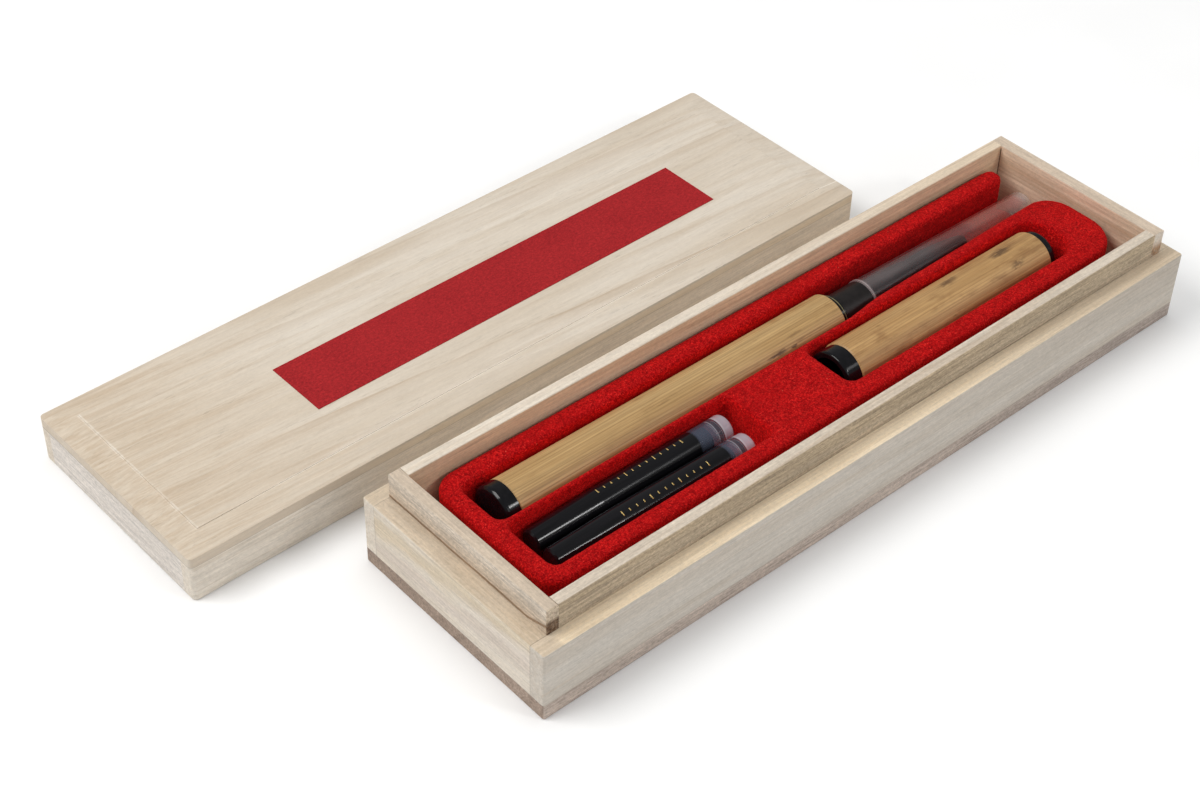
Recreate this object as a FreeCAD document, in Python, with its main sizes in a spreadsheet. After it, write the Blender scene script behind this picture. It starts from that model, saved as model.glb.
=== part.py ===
import FreeCAD, Part
import math
import os
import Sketcher

# Brush pen box of pale paulownia boards, opened: the lid lies on the table behind
# the base, and the base holds a flocked tray with a bamboo brush pen, its cap and
# two ink cartridges.
# Frame: +X along the box to the brush end, +Y to the lid, +Z up, origin in the
# middle of the base's underside, millimetres.

os.makedirs("parts", exist_ok=True)
doc = FreeCAD.newDocument("BrushPenBox")
sheet = doc.addObject("Spreadsheet::Sheet", "Sizes")

ROWS = [
    # base
    ("box_len", "200"), ("box_wid", "58.9"), ("floor_th", "4.1"), ("wall_top", "18.7"),
    ("end_th", "4.3"), ("end_right_th", "3.9"), ("side_th", "3.7"), ("front_th", "4.1"), ("liner_th", "3"), ("liner_right_th", "3.4"), ("rim_top", "25.4"),
    ("floor_round", "0.4"), ("corner_round", "0.6"), ("rim_ease", "0.35"), ("wall_ease", "0.35"),
    # lid
    ("lid_x", "-35.65"), ("lid_y", "73"), ("lid_yaw", "0.5"), ("lid_len", "199.3"), ("lid_wid", "59.2"), ("lid_frame_h", "9.7"), ("lid_edge_h", "2.5"), ("lid_bevel_h", "0.7"),
    ("lid_step_h", "0.22"), ("lid_step_ease", "0.1"),
    ("lid_bevel_w", "6.3"), ("lid_side_th", "3.75"), ("lid_end_th", "3.5"), ("lid_corner", "1.2"), ("lid_foot_ease", "0.5"),
    ("label_len", "121.4"), ("label_wid", "17.6"), ("label_th", "0.15"), ("label_x", "8.75"), ("label_y", "-0.85"),
    # tray
    ("tray_left", "-88.8"), ("tray_right", "91.5"), ("tray_near_y", "-18.3"), ("tray_far_y", "21.8"), ("tray_top", "21.4"),
    ("tray_corner", "6"), ("tray_corner_near", "10"), ("tray_edge", "1.05"), ("tray_skin", "1.2"), ("rim_gap", "0.4"), ("rim_th", "1.2"), ("rim_corner", "4"),
    ("rail_end", "88.2"), ("rail_round", "2.1"), ("shelf_round", "7"), ("chan_taper", "1.05"),
    ("neck_x", "19.6"), ("neck_end_x", "28.5"), ("neck_end_y", "4.8"),
    ("chan_left", "-84.2"), ("chan_near", "3.6"), ("chan_far", "16.8"), ("chan_floor", "9.45"), ("chan_round", "2"),
    ("capk_left", "2.6"), ("capk_right", "80.5"), ("capk_near", "-12.8"), ("capk_far", "2"), ("capk_floor", "9.3"),
    ("capk_round", "2.4"), ("capk_round_far", "5"),
    ("ink_left", "-84"), ("ink_right", "-21.4"), ("ink_near", "-13.75"), ("ink_far", "2"), ("ink_floor", "12.3"), ("ink_round", "2"),
    ("pocket_edge", "0.5"),
    # pen
    ("pen_y", "10.15"), ("pen_z", "16"), ("barrel_x", "-77.3"), ("barrel_len", "96.7"), ("barrel_r", "6.4"),
    ("barrel_bore_r", "4.6"), ("barrel_ease", "0.35"), ("barrel_waist", "0.05"),
    ("plug_head", "3.6"), ("plug_r", "6.35"), ("plug_round", "1.1"), ("plug_tail", "8.4"), ("plug_tail_r", "4.55"),
    ("bush_flange", "1.6"), ("bush_flange_r", "5.4"), ("bush_depth", "10"), ("bush_r", "4.55"), ("bush_bore_r", "3.6"),
    ("grip_gap", "0.1"), ("grip_len", "9.5"), ("grip_r", "4.75"), ("grip_ease", "0.3"), ("spigot_len", "9"), ("spigot_r", "3.55"),
    ("grip_bore_r", "1.65"),
    ("feed_len", "30.1"), ("feed_r", "1.6"), ("feed_hole_r", "0.6"), ("feed_back", "6"),
    ("holder_len", "15.4"), ("holder_r", "3.8"), ("holder_straight", "9.4"), ("holder_tip_r", "3.2"), ("holder_bore_r", "1.65"), ("holder_socket", "5.6"),
    ("brush_root_r", "1.6"), ("brush_root", "9.6"), ("brush_belly", "3.2"), ("brush_belly_r", "3.2"), ("brush_len", "30.4"), ("brush_tip_r", "0.9"),
    ("guard_gap", "0.1"), ("guard_flange", "0.7"), ("guard_flange_r", "4.95"), ("guard_r", "4.8"), ("guard_tip_r", "4"),
    ("guard_bore_r", "4.3"), ("guard_bore_tip_r", "3.5"), ("guard_len", "57.7"), ("guard_bore", "56.3"), ("guard_dome", "1.3"),
    # bamboo cap
    ("cap_y", "-4.7"), ("cap_z", "16"), ("cap_x", "9.1"), ("cap_len", "64.9"), ("cap_r", "6.55"), ("cap_bore_r", "5.45"), ("cap_ease", "0.35"),
    ("ring_head", "4.1"), ("ring_r", "6.25"), ("ring_round", "0.6"), ("ring_tail", "16"), ("ring_tail_r", "5.4"), ("ring_bore_r", "4.9"),
    ("stop_head", "2.4"), ("stop_r", "6"), ("stop_round", "1.1"), ("stop_tail", "8"), ("stop_tail_r", "5.4"),
    # cartridges
    ("cart_x", "-80.2"), ("cart_z", "16"), ("cart1_y", "-1.6"), ("cart2_x", "-80.4"), ("cart2_y", "-8.45"), ("cart2_yaw", "0.8"), ("cart_len", "55.4"), ("cart_r", "3.45"),
    ("cart_nose_r", "2.95"), ("cart_nose_in_r", "2.6"), ("cart_nose_ease", "0.4"), ("cart_taper", "18"), ("cart_end_round", "1"),
    ("cart_wall", "0.6"), ("cart_bottom", "2.8"), ("seal_len", "2.6"), ("seal_r", "2.3"), ("mouth_r", "2.33"), ("ink_gap", "0.03"),
    ("ink_end", "49.6"),
    # worked out from the sizes above
    ("half_len", "=box_len / 2"), ("half_wid", "=box_wid / 2"), ("wall_h", "=wall_top - floor_th"),
    ("left_x", "=-box_len / 2"), ("front_y", "=-box_wid / 2"), ("back_wall_y", "=box_wid / 2 - side_th"),
    ("end_wid", "=box_wid - side_th - front_th"), ("end_y", "=-box_wid / 2 + front_th"), ("right_end_x", "=box_len / 2 - end_right_th"),
    ("liner_h", "=rim_top - floor_th"), ("liner_left_x", "=-box_len / 2 + end_th"), ("liner_right_x", "=box_len / 2 - end_right_th - liner_right_th"),
    ("liner_long", "=box_len - end_th - liner_th - end_right_th - liner_right_th"), ("liner_long_x", "=-box_len / 2 + end_th + liner_th"),
    ("liner_front_y", "=-box_wid / 2 + front_th"), ("liner_back_y", "=box_wid / 2 - side_th - liner_th"),
    ("lid_l", "=-lid_len / 2"), ("lid_r", "=lid_len / 2"), ("lid_l_in", "=-lid_len / 2 + lid_end_th"), ("lid_r_in", "=lid_len / 2 - lid_end_th"),
    ("lid_n", "=-lid_wid / 2"), ("lid_f", "=lid_wid / 2"), ("lid_n_in", "=-lid_wid / 2 + lid_side_th"), ("lid_f_in", "=lid_wid / 2 - lid_side_th"),
    ("lid_field_len", "=lid_len - 2 * lid_bevel_w"), ("lid_field_wid", "=lid_wid - 2 * lid_bevel_w"), ("lid_field_z", "=lid_edge_h + lid_bevel_h"),
    ("label_l", "=label_x - label_len / 2"), ("label_r", "=label_x + label_len / 2"), ("label_n", "=label_y - label_wid / 2"), ("label_f", "=label_y + label_wid / 2"),
    ("label_pz", "=lid_frame_h + lid_edge_h + lid_bevel_h + lid_step_h"),
    ("plug_x", "=barrel_x - plug_head"), ("plug_all", "=plug_head + plug_tail"),
    ("barrel_mid", "=barrel_len / 2"), ("barrel_mid_r", "=barrel_r - barrel_waist"),
    ("barrel_ease_x", "=barrel_len - barrel_ease"), ("barrel_ease_r", "=barrel_r - barrel_ease"),
    ("bush_x", "=barrel_x + barrel_len - bush_depth"), ("bush_all", "=bush_depth + bush_flange"),
    ("spigot_x", "=barrel_x + barrel_len + bush_flange + grip_gap - spigot_len"), ("grip_all", "=spigot_len + grip_len"),
    ("grip_x", "=barrel_x + barrel_len + bush_flange + grip_gap"), ("grip_face_x", "=grip_x + grip_len"),
    ("feed_x", "=spigot_x - feed_back"),
    ("brush_x", "=grip_face_x + holder_socket + 0.2"), ("brush_belly_x", "=brush_root + brush_belly"),
    ("brush_taper_x", "=brush_root + 0.45 * (brush_len - brush_root)"), ("brush_taper_r", "=brush_belly_r * 0.84"),
    ("guard_x", "=grip_face_x + guard_gap"),
    ("ring_x", "=cap_x - ring_head"), ("ring_all", "=ring_head + ring_tail"),
    ("cap_mid", "=cap_len / 2"), ("cap_ease_x", "=cap_len - cap_ease"), ("cap_ease_r", "=cap_r - cap_ease"),
    ("stop_x", "=cap_x + cap_len - stop_tail"), ("stop_all", "=stop_tail + stop_head"),
    ("cart_in_r", "=cart_r - cart_wall"), ("cart_in_end", "=cart_len - cart_bottom"), ("cart_nose_out", "=cart_nose_r - cart_nose_ease"),
    ("seal_shoulder", "=seal_len + 0.1"),
    ("ink_core_r", "=cart_nose_in_r - cart_wall - ink_gap"), ("ink_body_r", "=cart_r - cart_wall - ink_gap"),
    ("ink_taper", "=cart_taper - seal_len - 0.2"), ("ink_len", "=ink_end - seal_len - 0.2"), ("ink_x", "=cart_x + seal_len + 0.2"),
    ("cart2_ink_x", "=cart2_x + (seal_len + 0.2) * cos(cart2_yaw)"), ("cart2_ink_y", "=cart2_y - (seal_len + 0.2) * sin(cart2_yaw)"),
]
for i, (alias, text) in enumerate(ROWS, start=1):
    sheet.set("A%d" % i, alias)
    sheet.set("B%d" % i, text)
    sheet.setAlias("B%d" % i, alias)
doc.recompute()


def size(alias):
    return float(sheet.get(alias))


def bind(obj, prop, alias):
    obj.setExpression(prop, "Sizes." + alias)


def origin_plane(body, role):
    for f in body.Origin.OriginFeatures:
        if f.Role == role:
            return f


def new_body(label):
    b = doc.addObject("PartDesign::Body", label)
    b.Label = label
    return b


def new_sketch(body, name, role="XY_Plane", lift=None):
    sk = body.newObject("Sketcher::SketchObject", name)
    sk.AttachmentSupport = (origin_plane(body, role), [""])
    sk.MapMode = "FlatFace"
    if lift:
        sk.AttachmentOffset = FreeCAD.Placement(FreeCAD.Vector(0, 0, size(lift)), FreeCAD.Rotation())
        bind(sk, "AttachmentOffset.Base.z", lift)
    return sk


def put(body, x=None, y=None, z=None):
    body.Placement = FreeCAD.Placement(
        FreeCAD.Vector(*[size(a) if a else 0.0 for a in (x, y, z)]), FreeCAD.Rotation())
    for axis, a in zip("xyz", (x, y, z)):
        if a:
            bind(body, "Placement.Base." + axis, a)


def tie(sk, geo, pos, kind, alias):
    # signed distance of one sketch point from the origin, held by a cell
    value = size(alias)
    if abs(value) < 1e-9:
        sk.addConstraint(Sketcher.Constraint("PointOnObject", geo, pos, -2 if kind == "DistanceX" else -1))
        return
    n = sk.addConstraint(Sketcher.Constraint(kind, -1, 1, geo, pos, value))
    sk.setExpression("Constraints[%d]" % n, "Sizes." + alias)


def polygon(sk, pts):
    # closed outline; each point is a pair of cells, or None for zero
    xy = [FreeCAD.Vector(size(a) if a else 0.0, size(b) if b else 0.0, 0) for a, b in pts]
    n = len(pts)
    first = sk.GeometryCount
    for i in range(n):
        sk.addGeometry(Part.LineSegment(xy[i], xy[(i + 1) % n]), False)
    for i in range(n):
        sk.addConstraint(Sketcher.Constraint("Coincident", first + i, 2, first + (i + 1) % n, 1))
    for i, (a, b) in enumerate(pts):
        if a is None:
            sk.addConstraint(Sketcher.Constraint("PointOnObject", first + i, 1, -2))
        else:
            tie(sk, first + i, 1, "DistanceX", a)
        if b is None:
            sk.addConstraint(Sketcher.Constraint("PointOnObject", first + i, 1, -1))
        else:
            tie(sk, first + i, 1, "DistanceY", b)


def centred(sk, lx, ly):
    # rectangle centred on the sketch's origin
    x, y = size(lx) / 2, size(ly) / 2
    c = [(-x, -y), (x, -y), (x, y), (-x, y)]
    f = sk.GeometryCount
    for i in range(4):
        sk.addGeometry(Part.LineSegment(FreeCAD.Vector(*c[i], 0), FreeCAD.Vector(*c[(i + 1) % 4], 0)), False)
    for i in range(4):
        sk.addConstraint(Sketcher.Constraint("Coincident", f + i, 2, f + (i + 1) % 4, 1))
    for i, k in enumerate(("Horizontal", "Vertical", "Horizontal", "Vertical")):
        sk.addConstraint(Sketcher.Constraint(k, f + i))
    sk.addConstraint(Sketcher.Constraint("Symmetric", f, 1, f + 2, 1, -1, 1))
    n = sk.addConstraint(Sketcher.Constraint("DistanceX", f, 1, f, 2, 2 * x))
    sk.setExpression("Constraints[%d]" % n, "Sizes." + lx)
    n = sk.addConstraint(Sketcher.Constraint("DistanceY", f + 1, 1, f + 1, 2, 2 * y))
    sk.setExpression("Constraints[%d]" % n, "Sizes." + ly)


def pad(body, sk, alias, name, kind="PartDesign::Pad"):
    p = body.newObject(kind, name)
    p.Profile = sk
    p.Length = size(alias)
    bind(p, "Length", alias)
    sk.Visibility = False
    body.Tip = p
    doc.recompute()
    return p


def pick(feature, test):
    names = []
    for i, e in enumerate(feature.Shape.Edges, start=1):
        if test(e):
            names.append("Edge%d" % i)
    return names


def soften(body, name, test, alias, kind="PartDesign::Fillet"):
    base = body.Tip
    f = body.newObject(kind, name)
    f.Base = (base, pick(base, test))
    if kind.endswith("Fillet"):
        f.Radius = size(alias)
        bind(f, "Radius", alias)
    else:
        f.Size = size(alias)
        bind(f, "Size", alias)
    body.Tip = f
    doc.recompute()
    return f


def span(e, axis):
    b = e.BoundBox
    return {"x": b.XLength, "y": b.YLength, "z": b.ZLength}[axis]


def upright(e):
    return span(e, "z") > 1e-6 and span(e, "x") < 1e-6 and span(e, "y") < 1e-6


def level(e, z):
    return abs(e.BoundBox.ZMin - z) < 1e-5 and abs(e.BoundBox.ZMax - z) < 1e-5


def board(label, lx, ly, lz, x, y, z):
    # plain sawn board with its corner on the local origin
    b = new_body(label)
    sk = new_sketch(b, label + "_outline")
    polygon(sk, [(None, None), (lx, None), (lx, ly), (None, ly)])
    pad(b, sk, lz, label + "_pad")
    put(b, x, y, z)
    return b


def lathe(label, pts, x, y, z):
    # turned piece about the local X axis; points are (along, radius) cells
    b = new_body(label)
    sk = new_sketch(b, label + "_profile")
    polygon(sk, pts)
    r = b.newObject("PartDesign::Revolution", label + "_turn")
    r.Profile = sk
    r.ReferenceAxis = (sk, ["H_Axis"])
    r.Angle = 360.0
    sk.Visibility = False
    b.Tip = r
    put(b, x, y, z)
    doc.recompute()
    return b


def rim_at(x, r):
    # circular edge of a turned piece, by its place along the axis and its radius
    def test(e):
        bb = e.BoundBox
        return abs(bb.XMin - x) < 1e-4 and abs(bb.XMax - x) < 1e-4 and abs(bb.ZMax - r) < 1e-3
    return test


# ---------------------------------------------------------------- base
base_bottom = board("base_bottom", "box_len", "box_wid", "floor_th", "left_x", "front_y", None)
soften(base_bottom, "base_bottom_corners", upright, "corner_round")
soften(base_bottom, "base_bottom_round", lambda e: level(e, 0.0), "floor_round")

for label, y, th in (("base_front_wall", "front_y", "front_th"), ("base_back_wall", "back_wall_y", "side_th")):
    w = board(label, "box_len", th, "wall_h", "left_x", y, "floor_th")
    outer = 0.0 if label == "base_front_wall" else size(th)
    soften(w, label + "_corners", lambda e: upright(e) and abs(e.BoundBox.YMin - outer) < 1e-5, "corner_round")
    soften(w, label + "_ease", lambda e: level(e, size("wall_h")) and span(e, "x") > 5 and abs(e.BoundBox.YMin - outer) < 1e-5, "wall_ease")
for label, x, th in (("base_left_end", "left_x", "end_th"), ("base_right_end", "right_end_x", "end_right_th")):
    w = board(label, th, "end_wid", "wall_h", x, "end_y", "floor_th")
    outer = 0.0 if label == "base_left_end" else size(th)
    soften(w, label + "_ease", lambda e: level(e, size("wall_h")) and span(e, "y") > 5 and abs(e.BoundBox.XMin - outer) < 1e-5, "wall_ease")

for label, y in (("liner_front", "liner_front_y"), ("liner_back", "liner_back_y")):
    w = board(label, "liner_long", "liner_th", "liner_h", "liner_long_x", y, "floor_th")
    soften(w, label + "_ease", lambda e: level(e, size("liner_h")) and span(e, "x") > 5, "rim_ease")
for label, x, th in (("liner_left", "liner_left_x", "liner_th"), ("liner_right", "liner_right_x", "liner_right_th")):
    w = board(label, th, "end_wid", "liner_h", x, "liner_front_y", "floor_th")
    soften(w, label + "_ease", lambda e: level(e, size("liner_h")), "rim_ease")

# ---------------------------------------------------------------- lid
# drawn in its own frame, about its middle, and laid down a little askew
def lay(body, z=None):
    put(body, "lid_x", "lid_y", z)
    body.Placement = FreeCAD.Placement(body.Placement.Base, FreeCAD.Rotation(FreeCAD.Vector(0, 0, 1), size("lid_yaw")))
    body.setExpression("Placement.Rotation.Angle", "Sizes.lid_yaw * 1 deg")


def lid_board(label, x0, x1, y0, y1, h, z=None):
    b = new_body(label)
    sk = new_sketch(b, label + "_outline")
    polygon(sk, [(x0, y0), (x1, y0), (x1, y1), (x0, y1)])
    pad(b, sk, h, label + "_pad")
    lay(b, z)
    return b


lid_top = new_body("lid_top")
sk = new_sketch(lid_top, "lid_top_outline")
centred(sk, "lid_len", "lid_wid")
pad(lid_top, sk, "lid_edge_h", "lid_top_edge")
low = new_sketch(lid_top, "lid_top_bevel_foot", lift="lid_edge_h")
centred(low, "lid_len", "lid_wid")
doc.recompute()
high = new_sketch(lid_top, "lid_top_bevel_head", lift="lid_field_z")
centred(high, "lid_field_len", "lid_field_wid")
doc.recompute()
loft = lid_top.newObject("PartDesign::AdditiveLoft", "lid_top_bevel")
loft.Profile = low
loft.Sections = [high]
loft.Ruled = True
lid_top.Tip = loft
doc.recompute()
# the field stands a small step above the bevel
sk = new_sketch(lid_top, "lid_top_field", lift="lid_field_z")
centred(sk, "lid_field_len", "lid_field_wid")
pad(lid_top, sk, "lid_step_h", "lid_top_step")
soften(lid_top, "lid_top_corners", lambda e: upright(e) and span(e, "z") > 1, "lid_corner")
soften(lid_top, "lid_top_step_ease", lambda e: level(e, size("lid_field_z") + size("lid_step_h")), "lid_step_ease")
lay(lid_top, "lid_frame_h")

for label, y0, y1 in (("lid_front_wall", "lid_n", "lid_n_in"), ("lid_back_wall", "lid_f_in", "lid_f")):
    w = lid_board(label, "lid_l", "lid_r", y0, y1, "lid_frame_h")
    outer = size("lid_n") if label == "lid_front_wall" else size("lid_f")
    soften(w, label + "_corners", lambda e: upright(e) and abs(e.BoundBox.YMin - outer) < 1e-5, "lid_corner")
    soften(w, label + "_foot", lambda e: level(e, 0.0) and span(e, "x") > 5 and abs(e.BoundBox.YMin - outer) < 1e-5, "lid_foot_ease")
for label, x0, x1 in (("lid_left_end", "lid_l", "lid_l_in"), ("lid_right_end", "lid_r_in", "lid_r")):
    w = lid_board(label, x0, x1, "lid_n_in", "lid_f_in", "lid_frame_h")
    outer = size("lid_l") if label == "lid_left_end" else size("lid_r")
    soften(w, label + "_foot", lambda e: level(e, 0.0) and span(e, "y") > 5 and abs(e.BoundBox.XMin - outer) < 1e-5, "lid_foot_ease")

lid_board("lid_label", "label_l", "label_r", "label_n", "label_f", "label_th", "label_pz")

# ---------------------------------------------------------------- tray
tray = new_body("tray")


def ring(sk, pts, rounds):
    # closed outline with rounded corners: corner points as pairs of cells and, for
    # each corner, a radius cell, None for a sharp corner, or a radius cell with the
    # cell of the round's centre height where a slanted run meets it
    n = len(pts)
    V = [FreeCAD.Vector(size(a), size(b), 0) for a, b in pts]
    R = [r if isinstance(r, tuple) else (r, None) for r in rounds]
    ins, outs, cens = [], [], []
    for i in range(n):
        p, q, s = V[i - 1], V[i], V[(i + 1) % n]
        u = (p - q).normalize()
        w = (s - q).normalize()
        r = size(R[i][0]) if R[i][0] else 0.0
        half = u.getAngle(w) / 2
        ins.append(q + u * (r / math.tan(half)))
        outs.append(q + w * (r / math.tan(half)))
        cens.append(q + (u + w).normalize() * (r / math.sin(half)) if r else q)
    geo = []
    for i in range(n):
        j = (i + 1) % n
        line = sk.addGeometry(Part.LineSegment(outs[i], ins[j]), False)
        d = V[j] - V[i]
        if abs(d.y) < 1e-9 or abs(d.x) < 1e-9:
            sk.addConstraint(Sketcher.Constraint("Horizontal" if abs(d.y) < 1e-9 else "Vertical", line))
        geo.append(line)
    for i in range(n):
        if not R[i][0]:
            sk.addConstraint(Sketcher.Constraint("Coincident", geo[i - 1], 2, geo[i], 1))
            continue
        r = size(R[i][0])
        c = cens[i]
        a0 = ins[i] - c
        a1 = outs[i] - c
        t0, t1 = math.atan2(a0.y, a0.x), math.atan2(a1.y, a1.x)
        ccw = (a0.x * a1.y - a0.y * a1.x) > 0
        if ccw:
            arc = sk.addGeometry(Part.ArcOfCircle(Part.Circle(c, FreeCAD.Vector(0, 0, 1), r), t0, t1), False)
            sk.addConstraint(Sketcher.Constraint("Tangent", geo[i - 1], 2, arc, 1))
            sk.addConstraint(Sketcher.Constraint("Tangent", arc, 2, geo[i], 1))
        else:
            arc = sk.addGeometry(Part.ArcOfCircle(Part.Circle(c, FreeCAD.Vector(0, 0, 1), r), t1, t0), False)
            sk.addConstraint(Sketcher.Constraint("Tangent", geo[i - 1], 2, arc, 2))
            sk.addConstraint(Sketcher.Constraint("Tangent", arc, 1, geo[i], 1))
        k = sk.addConstraint(Sketcher.Constraint("Radius", arc, r))
        sk.setExpression("Constraints[%d]" % k, "Sizes." + R[i][0])
        if R[i][1]:
            tie(sk, arc, 3, "DistanceY", R[i][1])
    # hold each straight run by its cell, and both cells of a slanted run's sharp end
    for i in range(n):
        j = (i + 1) % n
        d = V[j] - V[i]
        if abs(d.y) < 1e-9:
            tie(sk, geo[i], 1, "DistanceY", pts[i][1])
        elif abs(d.x) < 1e-9:
            tie(sk, geo[i], 1, "DistanceX", pts[i][0])
        elif not R[j][0]:
            tie(sk, geo[i], 2, "DistanceX", pts[j][0])
            nxt = V[(j + 1) % n] - V[j]
            if abs(nxt.y) > 1e-9:
                tie(sk, geo[i], 2, "DistanceY", pts[j][1])


sheet_extra = [
    ("tray_h", "=tray_top - floor_th"), ("tray_deck", "=chan_floor - floor_th"), ("tray_wall_h", "=tray_top - chan_floor"),
    ("capk_depth", "=tray_top - capk_floor"), ("ink_depth", "=tray_top - ink_floor"),
    ("rim_left", "=liner_left_x + liner_th + rim_gap"), ("rim_right", "=liner_right_x - rim_gap"),
    ("rim_near", "=liner_front_y + liner_th + rim_gap"), ("rim_far", "=liner_back_y - rim_gap"),
    ("shelf_far_y", "=neck_end_y + (tray_right - neck_end_x) * tan(chan_taper)"),
    ("shelf_mid_y", "=neck_end_y + (tray_right - shelf_round - neck_end_x) * tan(chan_taper) - shelf_round / cos(chan_taper)"),
    ("under_h", "=capk_floor - tray_skin - floor_th"),
    ("under_left", "=tray_left + tray_skin"), ("under_right", "=tray_right - tray_skin"),
    ("under_near", "=tray_near_y + tray_skin"), ("under_far", "=tray_far_y - tray_skin"),
    ("under_corner", "=tray_corner - tray_skin"), ("under_corner_near", "=tray_corner_near - tray_skin"),
    ("deep_h", "=tray_top - tray_edge - floor_th"),
    ("rail_low_y", "=chan_far + tray_skin"), ("rail_high_y", "=tray_far_y - tray_skin"),
    ("rail_hole_r", "=rail_end - tray_skin - 1.2"), ("rail_hole_l", "=tray_left + tray_corner"),
    ("shelf_l", "=ink_right + tray_skin"), ("shelf_r", "=capk_left - tray_skin"), ("shelf_far", "=chan_near - tray_skin"),
    ("inkbed_l", "=ink_left + 1"), ("inkbed_r", "=ink_right - 1"), ("inkbed_near", "=ink_near + 1"), ("inkbed_far", "=ink_far - 1"),
    ("inkbed_h", "=ink_floor - tray_skin - floor_th"),
]
for i, (alias, text) in enumerate(sheet_extra, start=len(ROWS) + 1):
    sheet.set("A%d" % i, alias)
    sheet.set("B%d" % i, text)
    sheet.setAlias("B%d" % i, alias)
doc.recompute()


def four(l, r, n, f):
    return [(l, n), (r, n), (r, f), (l, f)]


# thin rim at the foot, which keeps the tray centred between the liner boards
sk = new_sketch(tray, "tray_rim_outline")
ring(sk, four("rim_left", "rim_right", "rim_near", "rim_far"), ["rim_corner"] * 4)
pad(tray, sk, "rim_th", "tray_rim")
# lower block up to the floor of the pen channel
sk = new_sketch(tray, "tray_foot_outline")
ring(sk, four("tray_left", "tray_right", "tray_near_y", "tray_far_y"), ["tray_corner", "tray_corner_near", "tray_corner", "tray_corner"])
pad(tray, sk, "tray_deck", "tray_foot")
# upper block around the pen channel, which is open at the brush end and narrows
# beside the brush guard
sk = new_sketch(tray, "tray_upper_outline", lift="tray_deck")
ring(sk, [("tray_left", "tray_near_y"), ("tray_right", "tray_near_y"), ("tray_right", "shelf_far_y"), ("neck_end_x", "neck_end_y"),
          ("neck_x", "chan_near"), ("chan_left", "chan_near"),
          ("chan_left", "chan_far"), ("rail_end", "chan_far"), ("rail_end", "tray_far_y"), ("tray_left", "tray_far_y")],
     ["tray_corner", "tray_corner_near", ("shelf_round", "shelf_mid_y"), None, None, "chan_round", "chan_round", "rail_round", "rail_round", "tray_corner"])
pad(tray, sk, "tray_wall_h", "tray_upper")
soften(tray, "tray_top_edge", lambda e: level(e, size("tray_h")), "tray_edge")
# hollows for the cap and for the two cartridges, sunk from the top
sk = new_sketch(tray, "tray_cap_outline", lift="tray_h")
ring(sk, four("capk_left", "capk_right", "capk_near", "capk_far"), ["capk_round", "capk_round_far", "capk_round_far", "capk_round"])
pad(tray, sk, "capk_depth", "tray_cap_hollow", "PartDesign::Pocket")
sk = new_sketch(tray, "tray_ink_outline", lift="tray_h")
ring(sk, four("ink_left", "ink_right", "ink_near", "ink_far"), ["ink_round"] * 4)
pad(tray, sk, "ink_depth", "tray_ink_hollow", "PartDesign::Pocket")


def hollow_mouth(e):
    # top edges of the two sunk hollows
    if not level(e, size("tray_h")):
        return False
    c = e.BoundBox
    inside_cap = c.XMin > size("capk_left") - 0.01 and c.XMax < size("capk_right") + 0.01
    inside_ink = c.XMin > size("ink_left") - 0.01 and c.XMax < size("ink_right") + 0.01
    return (inside_cap or inside_ink) and c.YMin > size("ink_near") - 0.01 and c.YMax < size("ink_far") + 0.01


soften(tray, "tray_hollow_edge", hollow_mouth, "pocket_edge")


def from_below(name, alias, outlines):
    sk = new_sketch(tray, name + "_outline")
    for pts, rounds in outlines:
        ring(sk, pts, rounds)
    p = pad(tray, sk, alias, name, "PartDesign::Pocket")
    p.Reversed = True
    doc.recompute()


# the tray is a thin formed sheet, so its underside is hollow
from_below("tray_under", "under_h", [
    (four("under_left", "under_right", "under_near", "under_far"), ["under_corner", "under_corner_near", "under_corner", "under_corner"])])
from_below("tray_under_deep", "deep_h", [
    (four("rail_hole_l", "rail_hole_r", "rail_low_y", "rail_high_y"), [None] * 4),
    (four("shelf_l", "shelf_r", "capk_near", "shelf_far"), [None] * 4),
])
from_below("tray_under_ink", "inkbed_h", [(four("inkbed_l", "inkbed_r", "inkbed_near", "inkbed_far"), [None] * 4)])
put(tray, None, None, "floor_th")

# ---------------------------------------------------------------- pen
pen_barrel = lathe("pen_barrel", [
    (None, "barrel_bore_r"), (None, "barrel_ease_r"), ("barrel_ease", "barrel_r"), ("barrel_mid", "barrel_mid_r"),
    ("barrel_ease_x", "barrel_r"), ("barrel_len", "barrel_ease_r"), ("barrel_len", "barrel_bore_r")],
    "barrel_x", "pen_y", "pen_z")

plug = lathe("pen_tail_plug", [
    (None, None), (None, "plug_r"), ("plug_head", "plug_r"), ("plug_head", "plug_tail_r"), ("plug_all", "plug_tail_r"), ("plug_all", None)],
    "plug_x", "pen_y", "pen_z")
soften(plug, "pen_tail_plug_round", rim_at(0.0, size("plug_r")), "plug_round")

lathe("pen_barrel_bush", [
    (None, "bush_bore_r"), (None, "bush_r"), ("bush_depth", "bush_r"), ("bush_depth", "bush_flange_r"),
    ("bush_all", "bush_flange_r"), ("bush_all", "bush_bore_r")],
    "bush_x", "pen_y", "pen_z")

grip = lathe("pen_section", [
    (None, "grip_bore_r"), (None, "spigot_r"), ("spigot_len", "spigot_r"), ("spigot_len", "grip_r"),
    ("grip_all", "grip_r"), ("grip_all", "grip_bore_r")],
    "spigot_x", "pen_y", "pen_z")
soften(grip, "pen_section_ease", rim_at(size("grip_all"), size("grip_r")), "grip_ease")

lathe("pen_ink_feed", [
    (None, "feed_hole_r"), (None, "feed_r"), ("feed_len", "feed_r"), ("feed_len", "feed_hole_r")],
    "feed_x", "pen_y", "pen_z")

lathe("brush_holder", [
    (None, "holder_bore_r"), (None, "holder_r"), ("holder_straight", "holder_r"), ("holder_len", "holder_tip_r"), ("holder_len", "holder_bore_r")],
    "grip_face_x", "pen_y", "pen_z")

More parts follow.
